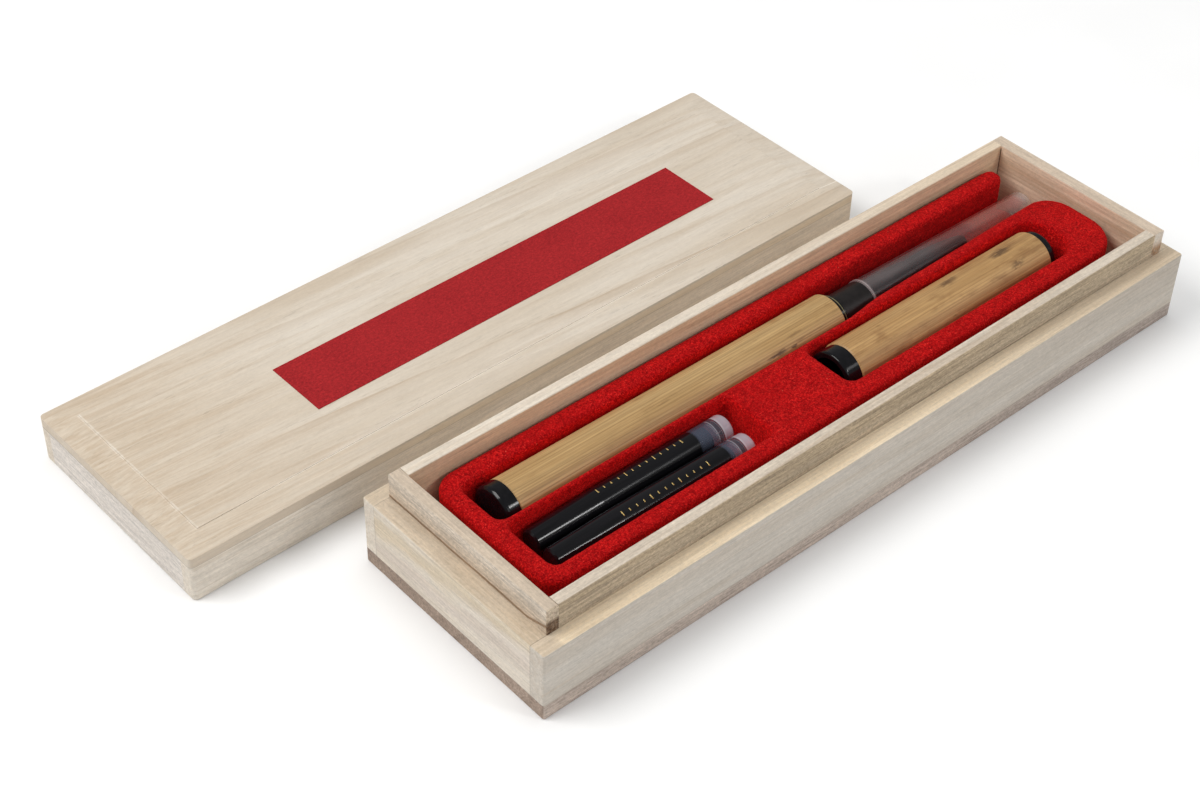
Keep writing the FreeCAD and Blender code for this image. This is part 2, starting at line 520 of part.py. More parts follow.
lathe("brush_bristles", [
    (None, None), (None, "brush_root_r"), ("brush_root", "brush_root_r"), ("brush_belly_x", "brush_belly_r"),
    ("brush_taper_x", "brush_taper_r"), ("brush_len", "brush_tip_r"), ("brush_len", None)],
    "brush_x", "pen_y", "pen_z")

guard = lathe("clear_brush_guard", [
    (None, "guard_bore_r"), (None, "guard_flange_r"), ("guard_flange", "guard_flange_r"), ("guard_flange", "guard_r"),
    ("guard_len", "guard_tip_r"), ("guard_len", None), ("guard_bore", None), ("guard_bore", "guard_bore_tip_r")],
    "guard_x", "pen_y", "pen_z")
soften(guard, "clear_brush_guard_dome", rim_at(size("guard_len"), size("guard_tip_r")), "guard_dome")

# ---------------------------------------------------------------- bamboo cap
lathe("cap_tube", [
    (None, "cap_bore_r"), (None, "cap_ease_r"), ("cap_ease", "cap_r"), ("cap_ease_x", "cap_r"),
    ("cap_len", "cap_ease_r"), ("cap_len", "cap_bore_r")],
    "cap_x", "cap_y", "cap_z")
ringp = lathe("cap_mouth_ring", [
    (None, "ring_bore_r"), (None, "ring_r"), ("ring_head", "ring_r"), ("ring_head", "ring_tail_r"),
    ("ring_all", "ring_tail_r"), ("ring_all", "ring_bore_r")],
    "ring_x", "cap_y", "cap_z")
soften(ringp, "cap_mouth_ring_round", rim_at(0.0, size("ring_r")), "ring_round")
stop = lathe("cap_end_plug", [
    (None, None), (None, "stop_tail_r"), ("stop_tail", "stop_tail_r"), ("stop_tail", "stop_r"), ("stop_all", "stop_r"), ("stop_all", None)],
    "stop_x", "cap_y", "cap_z")
soften(stop, "cap_end_plug_round", rim_at(size("stop_all"), size("stop_r")), "stop_round")

# ---------------------------------------------------------------- ink cartridges
# the near one lies a little askew, its nose towards the other
for k, x, y, ix, iy in (("1", "cart_x", "cart1_y", "ink_x", "cart1_y"), ("2", "cart2_x", "cart2_y", "cart2_ink_x", "cart2_ink_y")):
    shell = lathe("cartridge_%s_shell" % k, [
        (None, "mouth_r"), (None, "cart_nose_out"), ("cart_nose_ease", "cart_nose_r"), ("cart_taper", "cart_r"),
        ("cart_len", "cart_r"), ("cart_len", None), ("cart_in_end", None), ("cart_in_end", "cart_in_r"),
        ("cart_taper", "cart_in_r"), ("seal_shoulder", "mouth_r")],
        x, y, "cart_z")
    soften(shell, "cartridge_%s_end" % k, rim_at(size("cart_len"), size("cart_r")), "cart_end_round")
    fill = lathe("cartridge_%s_ink" % k, [
        (None, None), (None, "ink_core_r"), ("ink_taper", "ink_body_r"), ("ink_len", "ink_body_r"), ("ink_len", None)],
        ix, iy, "cart_z")
    seal = lathe("cartridge_%s_seal" % k, [
        (None, None), (None, "seal_r"), ("seal_len", "seal_r"), ("seal_len", None)],
        x, y, "cart_z")
    if k == "2":
        for b in (shell, fill, seal):
            b.Placement = FreeCAD.Placement(b.Placement.Base, FreeCAD.Rotation(FreeCAD.Vector(0, 0, -1), size("cart2_yaw")))
            b.setExpression("Placement.Rotation.Angle", "Sizes.cart2_yaw * 1 deg")

doc.recompute()

# ---------------------------------------------------------------- checks and files
bad = []
for o in doc.Objects:
    if "Invalid" in o.State or "Error" in o.State:
        bad.append(o.Name + " " + " ".join(o.State))
nodes = [o for o in doc.Objects if o.TypeId == "PartDesign::Body"]
for o in nodes:
    if o.Shape.isNull() or not o.Shape.isValid() or len(o.Shape.Solids) != 1:
        bad.append(o.Label + " shape")
if bad:
    raise RuntimeError("not built: " + "; ".join(bad))
for o in nodes:
    o.Shape.exportStep("parts/%s.step" % o.Label)
    b = o.Shape.BoundBox
    print("%-24s %8.1f mm3  x %.2f..%.2f  y %.2f..%.2f  z %.2f..%.2f" % (
        o.Label, o.Shape.Volume, b.XMin, b.XMax, b.YMin, b.YMax, b.ZMin, b.ZMax))
print(len(nodes), "nodes")
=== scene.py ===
import math
import random

import bmesh
import bpy
import numpy as np
from mathutils import Matrix, Vector, noise as mnoise


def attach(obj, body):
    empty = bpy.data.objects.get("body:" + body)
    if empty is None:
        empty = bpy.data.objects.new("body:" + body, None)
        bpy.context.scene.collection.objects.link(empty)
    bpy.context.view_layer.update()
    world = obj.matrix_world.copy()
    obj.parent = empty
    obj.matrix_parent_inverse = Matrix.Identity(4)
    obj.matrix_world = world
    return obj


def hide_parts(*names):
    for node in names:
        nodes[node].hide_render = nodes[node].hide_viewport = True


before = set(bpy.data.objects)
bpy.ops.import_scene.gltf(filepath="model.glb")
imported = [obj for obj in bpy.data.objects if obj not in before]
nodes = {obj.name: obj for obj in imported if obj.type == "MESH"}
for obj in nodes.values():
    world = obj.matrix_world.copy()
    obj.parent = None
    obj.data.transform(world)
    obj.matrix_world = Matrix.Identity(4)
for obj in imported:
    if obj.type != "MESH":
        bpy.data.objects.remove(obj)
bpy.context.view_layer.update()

scene = bpy.context.scene
MM = 0.001


def srgb(r, g, b, a=1.0):
    def lin(c):
        c /= 255.0
        return c / 12.92 if c <= 0.04045 else ((c + 0.055) / 1.055) ** 2.4
    return (lin(r), lin(g), lin(b), a)


# ---------------------------------------------------------------- node helper
class Tree:
    """A small shorthand for building a material's node tree."""

    def __init__(self, name):
        self.mat = bpy.data.materials.new(name)
        self.mat.use_nodes = True
        self.nt = self.mat.node_tree
        self.nt.nodes.clear()
        self.out = self.add("ShaderNodeOutputMaterial")

    def add(self, kind, **props):
        n = self.nt.nodes.new(kind)
        for k, v in props.items():
            setattr(n, k, v)
        return n

    def put(self, socket, value):
        if isinstance(value, bpy.types.NodeSocket):
            self.nt.links.new(value, socket)
        elif value is not None:
            socket.default_value = value

    def math(self, op, a, b=None, c=None, clamp=False):
        n = self.add("ShaderNodeMath", operation=op, use_clamp=clamp)
        for i, v in enumerate((a, b, c)):
            self.put(n.inputs[i], v)
        return n.outputs[0]

    def vmath(self, op, a, b=None):
        n = self.add("ShaderNodeVectorMath", operation=op)
        self.put(n.inputs[0], a)
        self.put(n.inputs[1], b)
        return n.outputs["Vector"]

    def length(self, a):
        n = self.add("ShaderNodeVectorMath", operation="LENGTH")
        self.put(n.inputs[0], a)
        return n.outputs["Value"]

    def mm(self):
        """Position on the piece, in millimetres, in the part's own frame."""
        n = self.add("ShaderNodeTexCoord")
        return self.vmath("MULTIPLY", n.outputs["Object"], (1000.0, 1000.0, 1000.0))

    def split(self, v):
        n = self.add("ShaderNodeSeparateXYZ")
        self.put(n.inputs[0], v)
        return n.outputs[0], n.outputs[1], n.outputs[2]

    def join(self, x, y, z):
        n = self.add("ShaderNodeCombineXYZ")
        for i, v in enumerate((x, y, z)):
            self.put(n.inputs[i], v)
        return n.outputs[0]

    def noise(self, v, scale=1.0, detail=2.0, rough=0.5, dist=0.0):
        n = self.add("ShaderNodeTexNoise", noise_dimensions="3D")
        self.put(n.inputs["Vector"], v)
        n.inputs["Scale"].default_value = scale
        n.inputs["Detail"].default_value = detail
        n.inputs["Roughness"].default_value = rough
        n.inputs["Distortion"].default_value = dist
        return n.outputs[0]

    def white(self, w):
        n = self.add("ShaderNodeTexWhiteNoise", noise_dimensions="1D")
        self.put(n.inputs["W"], w)
        return n.outputs["Value"]

    def voronoi(self, v, scale, feature="F1", rand=1.0):
        n = self.add("ShaderNodeTexVoronoi", feature=feature)
        self.put(n.inputs["Vector"], v)
        n.inputs["Scale"].default_value = scale
        n.inputs["Randomness"].default_value = rand
        return n

    def span(self, v, lo, hi, a=0.0, b=1.0, smooth=True):
        n = self.add("ShaderNodeMapRange", interpolation_type="SMOOTHSTEP" if smooth else "LINEAR")
        self.put(n.inputs[0], v)
        for i, x in enumerate((lo, hi, a, b), start=1):
            self.put(n.inputs[i], x)
        return n.outputs[0]

    def ramp(self, fac, stops, interp="LINEAR"):
        n = self.add("ShaderNodeValToRGB")
        n.color_ramp.interpolation = interp
        e = n.color_ramp.elements
        while len(e) > 1:
            e.remove(e[-1])
        e[0].position, e[0].color = stops[0]
        for p, c in stops[1:]:
            x = e.new(p)
            x.color = c
        self.put(n.inputs[0], fac)
        return n.outputs[0]

    def mix(self, fac, a, b, blend="MIX"):
        n = self.add("ShaderNodeMix", data_type="RGBA", blend_type=blend)
        self.put(n.inputs[0], fac)
        self.put(n.inputs[6], a)
        self.put(n.inputs[7], b)
        return n.outputs[2]

    def bump(self, height, strength, distance):
        n = self.add("ShaderNodeBump")
        n.inputs["Strength"].default_value = strength
        n.inputs["Distance"].default_value = distance
        self.put(n.inputs["Height"], height)
        return n.outputs[0]

    def shader(self, **inputs):
        n = self.add("ShaderNodeBsdfPrincipled")
        for k, v in inputs.items():
            self.put(n.inputs[k.replace("_", " ")], v)
        return n

    def finish(self, shader_socket):
        self.nt.links.new(shader_socket, self.out.inputs["Surface"])
        return self.mat


# ---------------------------------------------------------------- wood
CREAM, TAN, LINE = srgb(221, 212, 199), srgb(206, 192, 174), srgb(180, 157, 131)
PINK, PINKLINE = srgb(214, 184, 162), srgb(178, 142, 117)
DARK, DARK2, DARK3 = srgb(158, 140, 126), srgb(134, 115, 102), srgb(102, 84, 73)
BROWN, BROWN2, UMBER = srgb(116, 86, 63), srgb(150, 119, 93), srgb(70, 50, 37)
STRAW = srgb(212, 193, 160)


def wood(name, order, seed, period=6.0, lean=0.45, slope=0.012, ring=0.5, light=CREAM, mid=TAN, line=LINE,
         tone=0.5, warp=3.5, stains_and_painted_light=None, seam=(), pore=0.16, grit=1.0, streaky=0.5, calm=None, wavy=0.0, mottled=None):
    """Solid wood: growth rings cut at a slant, fibre streaks and open pores that run along the board.
    order names the frame axes as (along the grain, across the face, into the face)."""
    mottled = min(grit, 2.2) if mottled is None else mottled
    rnd = random.Random(seed)
    t = Tree(name)
    p = t.mm()
    xyz = dict(zip("xyz", t.split(p)))
    off = [rnd.uniform(-400, 400) for _ in range(3)]
    g = t.math("ADD", xyz[order[0]], off[0])
    a = t.math("ADD", xyz[order[1]], off[1])
    b = t.math("ADD", xyz[order[2]], off[2])
    q = t.join(g, a, b)

    def along(sg, sc):
        return t.vmath("MULTIPLY", q, (sg, sc, sc))

    # growth rings, uneven in spacing and strength, fading in and out along the board
    w1 = t.math("SUBTRACT", t.noise(along(0.006, 0.03), 1.0, 2.0, 0.5), 0.5)
    w2 = t.math("SUBTRACT", t.noise(along(0.022, 0.30), 1.0, 4.0, 0.62), 0.5)
    across = t.math("ADD", t.math("MULTIPLY", a, math.cos(lean)), t.math("MULTIPLY", b, math.sin(lean)))
    c = t.math("ADD", across, t.math("MULTIPLY", g, slope))
    c = t.math("ADD", c, t.math("MULTIPLY", w1, warp * 4.0))
    c = t.math("ADD", c, t.math("MULTIPLY", w2, 1.6))
    c = t.math("DIVIDE", c, period)
    uneven = t.math("SUBTRACT", t.noise(t.join(c, 0.0, seed * 1.7), 0.45, 1.0), 0.5)
    c = t.math("ADD", c, t.math("MULTIPLY", uneven, 1.9))
    ringno = t.math("FLOOR", c)
    phase = t.math("FRACT", c)
    strength = t.math("MULTIPLY_ADD", t.math("POWER", t.white(ringno), 1.6), 0.85, 0.15)
    late = t.math("ADD", t.span(phase, 0.30, 0.95, 0.0, 0.55), t.span(phase, 0.88, 0.965, 0.0, 0.45))
    late = t.math("MULTIPLY", late, t.span(phase, 0.97, 1.0, 1.0, 0.0))
    fade = t.span(t.noise(along(0.014, 0.16), 1.0, 2.0, 0.5), 0.36, 0.62, 0.25, 1.0)
    late = t.math("MULTIPLY", t.math("MULTIPLY", late, strength), t.math("MULTIPLY", fade, ring))
    # streaks, pores and slow tone
    drift = t.math("ADD", t.math("MULTIPLY", w1, 9.0 * wavy), t.math("MULTIPLY", w2, 4.0 * wavy))
    drift = t.math("ADD", drift, t.math("MULTIPLY", g, slope))
    q2 = t.join(g, t.math("ADD", a, drift), b)
    band = t.noise(t.vmath("MULTIPLY", q2, (0.007 + 0.012 * wavy, 0.42 - 0.12 * wavy, 0.42)), 1.0, 3.0, 0.6)
    streak = t.noise(t.vmath("MULTIPLY", q2, (0.018 + 0.014 * wavy, 1.25, 1.25)), 1.0, 4.0, 0.68)
    fine = t.noise(along(0.06, 1.75), 1.0, 5.0, 0.78)
    pores = t.span(t.noise(along(0.2, 2.1), 1.0, 3.0, 0.6), 0.60, 0.68)
    pores = t.math("MULTIPLY", pores, t.span(phase, 0.0, 0.5, 1.0, 0.35))
    speck = t.noise(along(0.95, 1.65), 1.0, 5.0, 0.8)
    mottle = t.noise(along(0.10, 0.55), 1.0, 3.0, 0.6)
    slow = t.span(t.noise(along(0.009, 0.055), 1.0, 2.0, 0.5), 0.32, 0.68)
    col = t.mix(t.math("MULTIPLY", slow, tone), light, mid)
    col = t.mix(t.span(band, 0.44, 0.70, 0.0, 0.55 * tone + 0.2), col, mid)
    col = t.mix(late, col, line)
    col = t.mix(t.span(streak, 0.46, 0.72, 0.0, streaky), col, t.mix(0.5, mid, line))
    shade = t.math("ADD", t.span(fine, 0.25, 0.75, 1.0 - 0.075 * grit, 1.0 + 0.06 * grit, smooth=False), t.math("MULTIPLY", pores, -pore))
    shade = t.math("MULTIPLY", shade, t.span(speck, 0.25, 0.75, 1.0 - 0.07 * grit, 1.0 + 0.065 * grit, smooth=False))
    shade = t.math("MULTIPLY", shade, t.span(mottle, 0.25, 0.75, 1.0 - 0.035 * mottled, 1.0 + 0.035 * mottled, smooth=False))
    if calm is not None:
        # the planed upper edge is smoother than the faces
        shade = t.math("ADD", shade, t.math("MULTIPLY", t.math("SUBTRACT", 1.0, shade), t.span(xyz["z"], calm - 0.12, calm, 0.0, 0.5)))
    # stains, and on some boards painted light and shade, laid over the grain
    if stains_and_painted_light is not None:
        for mask, first, second in stains_and_painted_light(t, xyz, along):
            col = t.mix(mask, col, t.mix(t.span(streak, 0.35, 0.65), first, second))
    for axis, at, half, depth in seam:
        wob = t.math("MULTIPLY_ADD", t.noise(along(0.05, 0.05), 1.0, 2.0), 0.16, -0.08)
        d = t.math("ABSOLUTE", t.math("ADD", t.math("SUBTRACT", xyz[axis], at), wob))
        gap = t.span(t.noise(along(0.03, 0.0), 1.0, 2.0), 0.35, 0.65, depth * 0.35, depth)
        shade = t.math("MULTIPLY", shade, t.math("SUBTRACT", 1.0, t.math("MULTIPLY", t.span(d, half * 0.3, half, 1.0, 0.0), gap)))
    col = t.mix(1.0, col, t.join(shade, shade, shade), "MULTIPLY")
    height = t.math("ADD", t.math("MULTIPLY", fine, 0.55), t.math("MULTIPLY", streak, 0.4))
    height = t.math("ADD", height, t.math("MULTIPLY", pores, -0.8))
    height = t.math("ADD", height, t.math("MULTIPLY", speck, 0.2))
    rough = t.span(fine, 0.2, 0.8, 0.60, 0.76, smooth=False)
    s = t.shader(Base_Color=col, Roughness=rough, Specular_IOR_Level=0.25, Normal=t.bump(height, 0.35, 0.00012))
    return t.finish(s.outputs[0])


def liner_left_stain(t, xyz, along):
    # brown heart streak low on the outside, widening into the end grain at the near corner
    wav = t.math("SUBTRACT", t.noise(along(0.07, 0.05), 1.0, 4.0, 0.6), 0.5)
    top = t.span(xyz["y"], -25.4, -19.0, 21.6, 20.0)
    top = t.math("ADD", top, t.math("MULTIPLY", wav, 1.5))
    face = t.span(xyz["z"], 25.2, 25.36, 0.0, 0.8)
    d = t.math("SUBTRACT", top, xyz["z"])
    outside = t.span(xyz["x"], -95.6, -95.2, 1.0, 0.0)
    near = t.span(xyz["y"], -25.25, -24.9, 1.0, 0.0)
    streak = t.math("MULTIPLY", t.span(d, -0.3, 0.7, 0.0, 0.22), t.math("MAXIMUM", t.math("MULTIPLY", outside, 0.4), near))
    core = t.math("MULTIPLY", t.span(d, 0.3, 0.6), t.span(d, 1.25, 0.95))
    core = t.math("MULTIPLY", t.math("MULTIPLY", core, 0.8), outside)
    warm = t.math("MULTIPLY", t.span(xyz["z"], 25.0, 20.5, 0.0, 0.3), outside)
    lump = t.noise(t.join(t.math("MULTIPLY", xyz["x"], 1.1), 0.0, t.math("MULTIPLY", xyz["z"], 1.1)), 1.0, 3.0, 0.6)
    patch = t.math("MULTIPLY", near, t.span(t.math("ADD", xyz["z"], t.math("MULTIPLY", lump, 2.0)), 23.8, 22.6))
    patch = t.math("MULTIPLY", patch, t.span(lump, 0.34, 0.62, 0.55, 1.0))
    pale = t.math("MULTIPLY", near, 0.55)
    return [(face, srgb(190, 172, 152), srgb(200, 183, 163)), (warm, srgb(186, 160, 132), srgb(202, 178, 150)), (pale, BROWN2, STRAW), (streak, srgb(140, 110, 82), srgb(168, 138, 110)), (core, srgb(116, 86, 60), srgb(150, 119, 90)), (patch, UMBER, BROWN)]


def liner_right_stain(t, xyz, along):
    wav = t.math("SUBTRACT", t.noise(along(0.05, 0.09), 1.0, 3.0, 0.6), 0.5)
    band = t.math("ADD", xyz["z"], t.math("MULTIPLY", wav, 5.0))
    m = t.math("MULTIPLY", t.span(band, 18.4, 20.0), t.span(band, 23.0, 21.4))
    m2 = t.math("MULTIPLY", t.span(band, 14.0, 15.0), t.span(band, 17.0, 16.0))
    lump = t.noise(t.join(t.math("MULTIPLY", xyz["x"], 1.0), 0.0, t.math("MULTIPLY", xyz["z"], 0.9)), 1.0, 3.0, 0.6)
    near = t.math("MULTIPLY", t.span(xyz["y"], -25.2, -24.8, 1.0, 0.0), t.span(t.math("ADD", xyz["z"], t.math("MULTIPLY", lump, 3.0)), 23.6, 22.2))
    near = t.math("MULTIPLY", near, t.span(lump, 0.36, 0.6, 0.45, 1.0))
    # warm inner face
    inner = t.math("MULTIPLY", t.span(xyz["x"], 92.95, 92.75), t.span(xyz["z"], 25.3, 25.1))
    # dark line where the board meets the back one
    joint = t.math("MULTIPLY", t.span(t.math("ABSOLUTE", t.math("SUBTRACT", xyz["y"], 22.75)), 0.18, 0.42, 0.75, 0.0), t.span(xyz["z"], 24.9, 24.0))
    return [(t.span(xyz["z"], 25.2, 25.36, 0.0, 0.8), srgb(196, 177, 156), srgb(205, 188, 168)),
            (t.math("MULTIPLY", inner, 0.9), srgb(238, 215, 187), srgb(219, 191, 160)),
            (t.math("MULTIPLY", m, 0.4), srgb(176, 138, 106), srgb(196, 160, 128)), (t.math("MULTIPLY", m2, 0.3), srgb(176, 138, 106), srgb(196, 160, 128)),
            (t.math("MULTIPLY", near, 0.8), BROWN, srgb(170, 120, 66)), (joint, UMBER, BROWN)]


def left_end_stain(t, xyz, along):
    # straw-coloured wavy figure in the upper part, a greyer band under it, and a golden upper edge
    wav = t.math("SUBTRACT", t.noise(along(0.05, 0.13), 1.0, 4.0, 0.62), 0.5)
    tilt = t.math("ADD", xyz["z"], t.math("MULTIPLY", xyz["y"], 0.07))
    h = t.math("ADD", tilt, t.math("MULTIPLY", wav, 12.0))
    m = t.math("MULTIPLY", t.span(h, 11.5, 15.5), t.span(h, 21.0, 17.0))
    m2 = t.math("MULTIPLY", t.span(h, 5.8, 8.2), t.span(h, 12.0, 9.2))
    edge = t.span(xyz["z"], 18.5, 18.66, 0.0, 0.85)
    return [(t.math("MULTIPLY", m, 0.55), STRAW, srgb(202, 183, 152)), (t.math("MULTIPLY", m2, 0.5), srgb(196, 181, 170), srgb(206, 193, 182)),
            (edge, srgb(204, 187, 165), srgb(195, 176, 152))]


def ledge_tint_and_painted_light(t, xyz, along):
    # the cut upper edge of a wall is a little more golden than its face; painted light brightens it along the front
    # wall, and the lower front face turns darker and greyer towards the right end
    edge = t.span(xyz["z"], 18.55, 18.66, 0.0, 0.95)
    # painted light: the front ledge is painted brighter where the liner's shadow falls on it
    front = t.math("MULTIPLY", t.span(xyz["x"], -96.4, -93.5), t.span(xyz["y"], -20.0, -24.0))
    front = t.math("MULTIPLY", front, t.span(xyz["x"], 5.0, 90.0, 1.0, 0.22))
    far = t.math("MULTIPLY", t.span(xyz["x"], -20.0, 95.0, 0.0, 0.75), t.span(xyz["z"], 7.5, 13.0))
    far = t.math("MULTIPLY", far, t.span(xyz["y"], -29.2, -29.35))
    return [(far, srgb(187, 177, 164), srgb(180, 168, 153)), (edge, srgb(207, 190, 168), srgb(198, 180, 156)), (t.math("MULTIPLY", edge, front), srgb(240, 222, 194), srgb(230, 209, 178))]


def lid_edge_tint_and_painted_light(t, xyz, along):
    # the panel's edge faces are browner than its face, most of all along the front; a painted highlight lies along the
    # lip of the raised field at the near end, and painted light lifts the step's riser along the front and the front
    # edge over the stretch behind the base
    turn = math.radians(0.5)
    dx, dy = t.math("ADD", xyz["x"], 35.65), t.math("SUBTRACT", xyz["y"], 73.0)
    u = t.math("ADD", t.math("MULTIPLY", dx, math.cos(turn)), t.math("MULTIPLY", dy, math.sin(turn)))
    v = t.math("SUBTRACT", t.math("MULTIPLY", dy, math.cos(turn)), t.math("MULTIPLY", dx, math.sin(turn)))
    # painted highlight: a pale line on the lit lip of the raised field at the near end
    step_painted_highlight = t.span(t.math("ABSOLUTE", t.math("ADD", u, 93.25)), 0.15, 0.5, 0.5, 0.0)
    step_painted_highlight = t.math("MULTIPLY", step_painted_highlight, t.span(t.math("ABSOLUTE", v), 23.2, 23.6, 1.0, 0.0))
    step_painted_highlight = t.math("MULTIPLY", step_painted_highlight, t.span(t.noise(along(0.4, 0.3), 1.0, 3.0, 0.6), 0.38, 0.62, 0.15, 1.0))
    # painted light: along the front, away from the near end, the shaded riser of the step is painted nearly as pale as
    # the top
    riser_painted_light = t.span(t.math("ABSOLUTE", t.math("ADD", v, 23.33)), 0.08, 0.2, 0.8, 0.0)
    riser_painted_light = t.math("MULTIPLY", riser_painted_light, t.span(u, -92.0, -62.0))
    edge = t.span(xyz["z"], 12.15, 12.35, 0.45, 0.0)
    front = t.span(v, -29.4, -29.0, 1.0, 0.35)
    right = t.math("MULTIPLY", t.span(u, -66.0, -34.0), t.span(v, -29.5, -29.2, 1.0, 0.0))
    sides = t.math("MULTIPLY", edge, t.math("SUBTRACT", front, right, clamp=True))
    # painted light: the front edge face over the stretch behind the base is painted paler
    gap_edge_painted_light = t.math("MULTIPLY", t.span(xyz["z"], 11.3, 11.9, 0.8, 0.0), right)
    end = t.math("MULTIPLY", t.span(t.math("ADD", u, t.math("MULTIPLY", t.noise(along(0.02, 0.25), 1.0, 3.0, 0.6), 50.0)), -8.0, -70.0, 0.0, 0.85), t.span(xyz["z"], 12.1, 12.3))
    return [(end, srgb(206, 192, 173), srgb(192, 173, 150)), (sides, srgb(178, 156, 132), srgb(196, 176, 150)), (gap_edge_painted_light, srgb(234, 215, 188), srgb(225, 205, 177)), (step_painted_highlight, srgb(236, 229, 218), srgb(228, 219, 206)), (riser_painted_light, srgb(236, 228, 215), srgb(230, 221, 207))]


def lid_front_painted_light(t, xyz, along):
    # painted light: the stretch facing the base is painted paler, standing in for light in the gap behind the base
    gap_painted_light = t.span(xyz["x"], -101.0, -70.0, 0.0, 0.85)
    return [(gap_painted_light, srgb(238, 223, 203), srgb(227, 210, 188))]


def liner_front_painted_shade(t, xyz, along):
    # painted shade: the outside of the board is painted darker and browner than its planed top
    wav = t.math("SUBTRACT", t.noise(along(0.02, 0.3), 1.0, 3.0, 0.6), 0.5)
    outer_painted_shade = t.span(t.math("ADD", xyz["z"], t.math("MULTIPLY", wav, 5.0)), 19.0, 24.6, 0.55, 0.82)
    out = t.span(xyz["y"], -25.25, -25.0, 1.0, 0.0)
    return [(t.math("MULTIPLY", outer_painted_shade, out), srgb(156, 135, 106), srgb(180, 159, 128))]


def liner_back_tint_and_bounce_light(t, xyz, along):
    # painted red bounce light warms the inner face; paler wood on top
    inner = t.math("MULTIPLY", t.span(xyz["y"], 23.0, 22.85), t.span(xyz["z"], 25.3, 25.1))
    top = t.math("MULTIPLY", t.span(xyz["z"], 25.15, 25.3), t.span(xyz["x"], 0.0, 80.0, 0.0, 0.75))
    return [(inner, srgb(236, 212, 178), srgb(217, 188, 153)), (top, srgb(216, 196, 170), srgb(207, 186, 160))]


def bottom_painted_light_and_shade(t, xyz, along):
    # painted light: the long front face of the board is painted paler than the rest
    front = t.span(xyz["y"], -29.1, -29.35, 0.0, 0.9)
    # painted shade: the front face turns greyer and darker towards the right end
    far = t.math("MULTIPLY", front, t.span(xyz["x"], -10.0, 90.0, 0.0, 0.9))
    return [(front, srgb(203, 187, 174), srgb(188, 171, 158)), (far, srgb(172, 158, 148), srgb(161, 147, 137))]


SEAM_BASE = (("z", 4.1, 0.18, 0.5),)
SEAM_END = SEAM_BASE + (("y", -25.35, 0.3, 0.32), ("y", 25.75, 0.3, 0.32))
SEAM_LID = (("z", 9.7, 0.16, 0.42),)
WOODS = {
    "base_bottom": dict(order="xyz", seed=11, period=5.0, light=srgb(172, 152, 137), mid=srgb(152, 133, 119), line=srgb(116, 98, 86), tone=0.8, lean=0.9, ring=0.9, pore=0.36, grit=5.5, stains_and_painted_light=bottom_painted_light_and_shade),
    "base_front_wall": dict(order="xzy", seed=23, period=7.5, lean=0.25, slope=0.01, ring=0.35, tone=0.35, light=srgb(202, 194, 183), mid=srgb(192, 181, 167), seam=SEAM_BASE, stains_and_painted_light=ledge_tint_and_painted_light, grit=2.4, mottled=1.2),
    "base_back_wall": dict(order="xzy", seed=31, period=6.5, lean=0.3, slope=-0.008, ring=0.45, seam=SEAM_BASE, stains_and_painted_light=ledge_tint_and_painted_light, grit=2.4),
    "base_left_end": dict(order="yzx", seed=46, period=4.6, lean=0.5, slope=0.05, ring=0.4, tone=0.4, warp=5.0, seam=SEAM_END, stains_and_painted_light=left_end_stain, grit=2.8),
    "base_right_end": dict(order="yzx", seed=53, period=5.2, lean=0.5, slope=-0.03, ring=0.5, seam=SEAM_END, stains_and_painted_light=ledge_tint_and_painted_light, grit=2.8),
    "liner_front": dict(order="xzy", seed=61, period=3.0, lean=0.4, ring=0.6, slope=0.006, light=srgb(208, 196, 180), mid=srgb(197, 182, 164), stains_and_painted_light=liner_front_painted_shade, grit=7.0, calm=25.35),
    "liner_back": dict(order="xzy", seed=67, period=2.6, lean=0.3, ring=0.5, slope=0.008, light=srgb(224, 213, 197), mid=srgb(213, 198, 180), stains_and_painted_light=liner_back_tint_and_bounce_light, grit=2.4),
    "liner_left": dict(order="yzx", seed=71, period=4.5, lean=0.4, ring=0.4, tone=0.6, light=srgb(209, 196, 180), mid=srgb(193, 177, 158), stains_and_painted_light=liner_left_stain, grit=6.0, calm=25.35),
    "liner_right": dict(order="yzx", seed=83, period=4.2, lean=0.35, ring=0.5, tone=0.7, mid=srgb(198, 178, 160), stains_and_painted_light=liner_right_stain, grit=2.8),
    "lid_top": dict(order="xyz", seed=97, period=9.0, lean=0.35, slope=0.06, ring=0.72, tone=0.7, light=srgb(214, 204, 190), mid=srgb(198, 183, 163), line=srgb(171, 147, 120), seam=SEAM_LID, stains_and_painted_light=lid_edge_tint_and_painted_light, grit=0.9, streaky=0.25, wavy=1.0),
    "lid_front_wall": dict(order="xzy", seed=101, period=7.0, lean=0.2, ring=0.35, seam=(("z", 9.7, 0.16, 0.15),), stains_and_painted_light=lid_front_painted_light, grit=2.2),
    "lid_back_wall": dict(order="xzy", seed=107, period=6.0, lean=0.25, ring=0.4, seam=SEAM_LID, grit=2.6),
    "lid_left_end": dict(order="yzx", seed=113, period=5.0, lean=0.3, ring=0.14, slope=0.02, tone=0.25, streaky=0.2, light=srgb(217, 209, 201), mid=srgb(211, 203, 194), seam=SEAM_LID, grit=4.4, mottled=0.7),
    "lid_right_end": dict(order="yzx", seed=127, period=5.0, lean=0.3, ring=0.4, seam=SEAM_LID, grit=3.6),
}


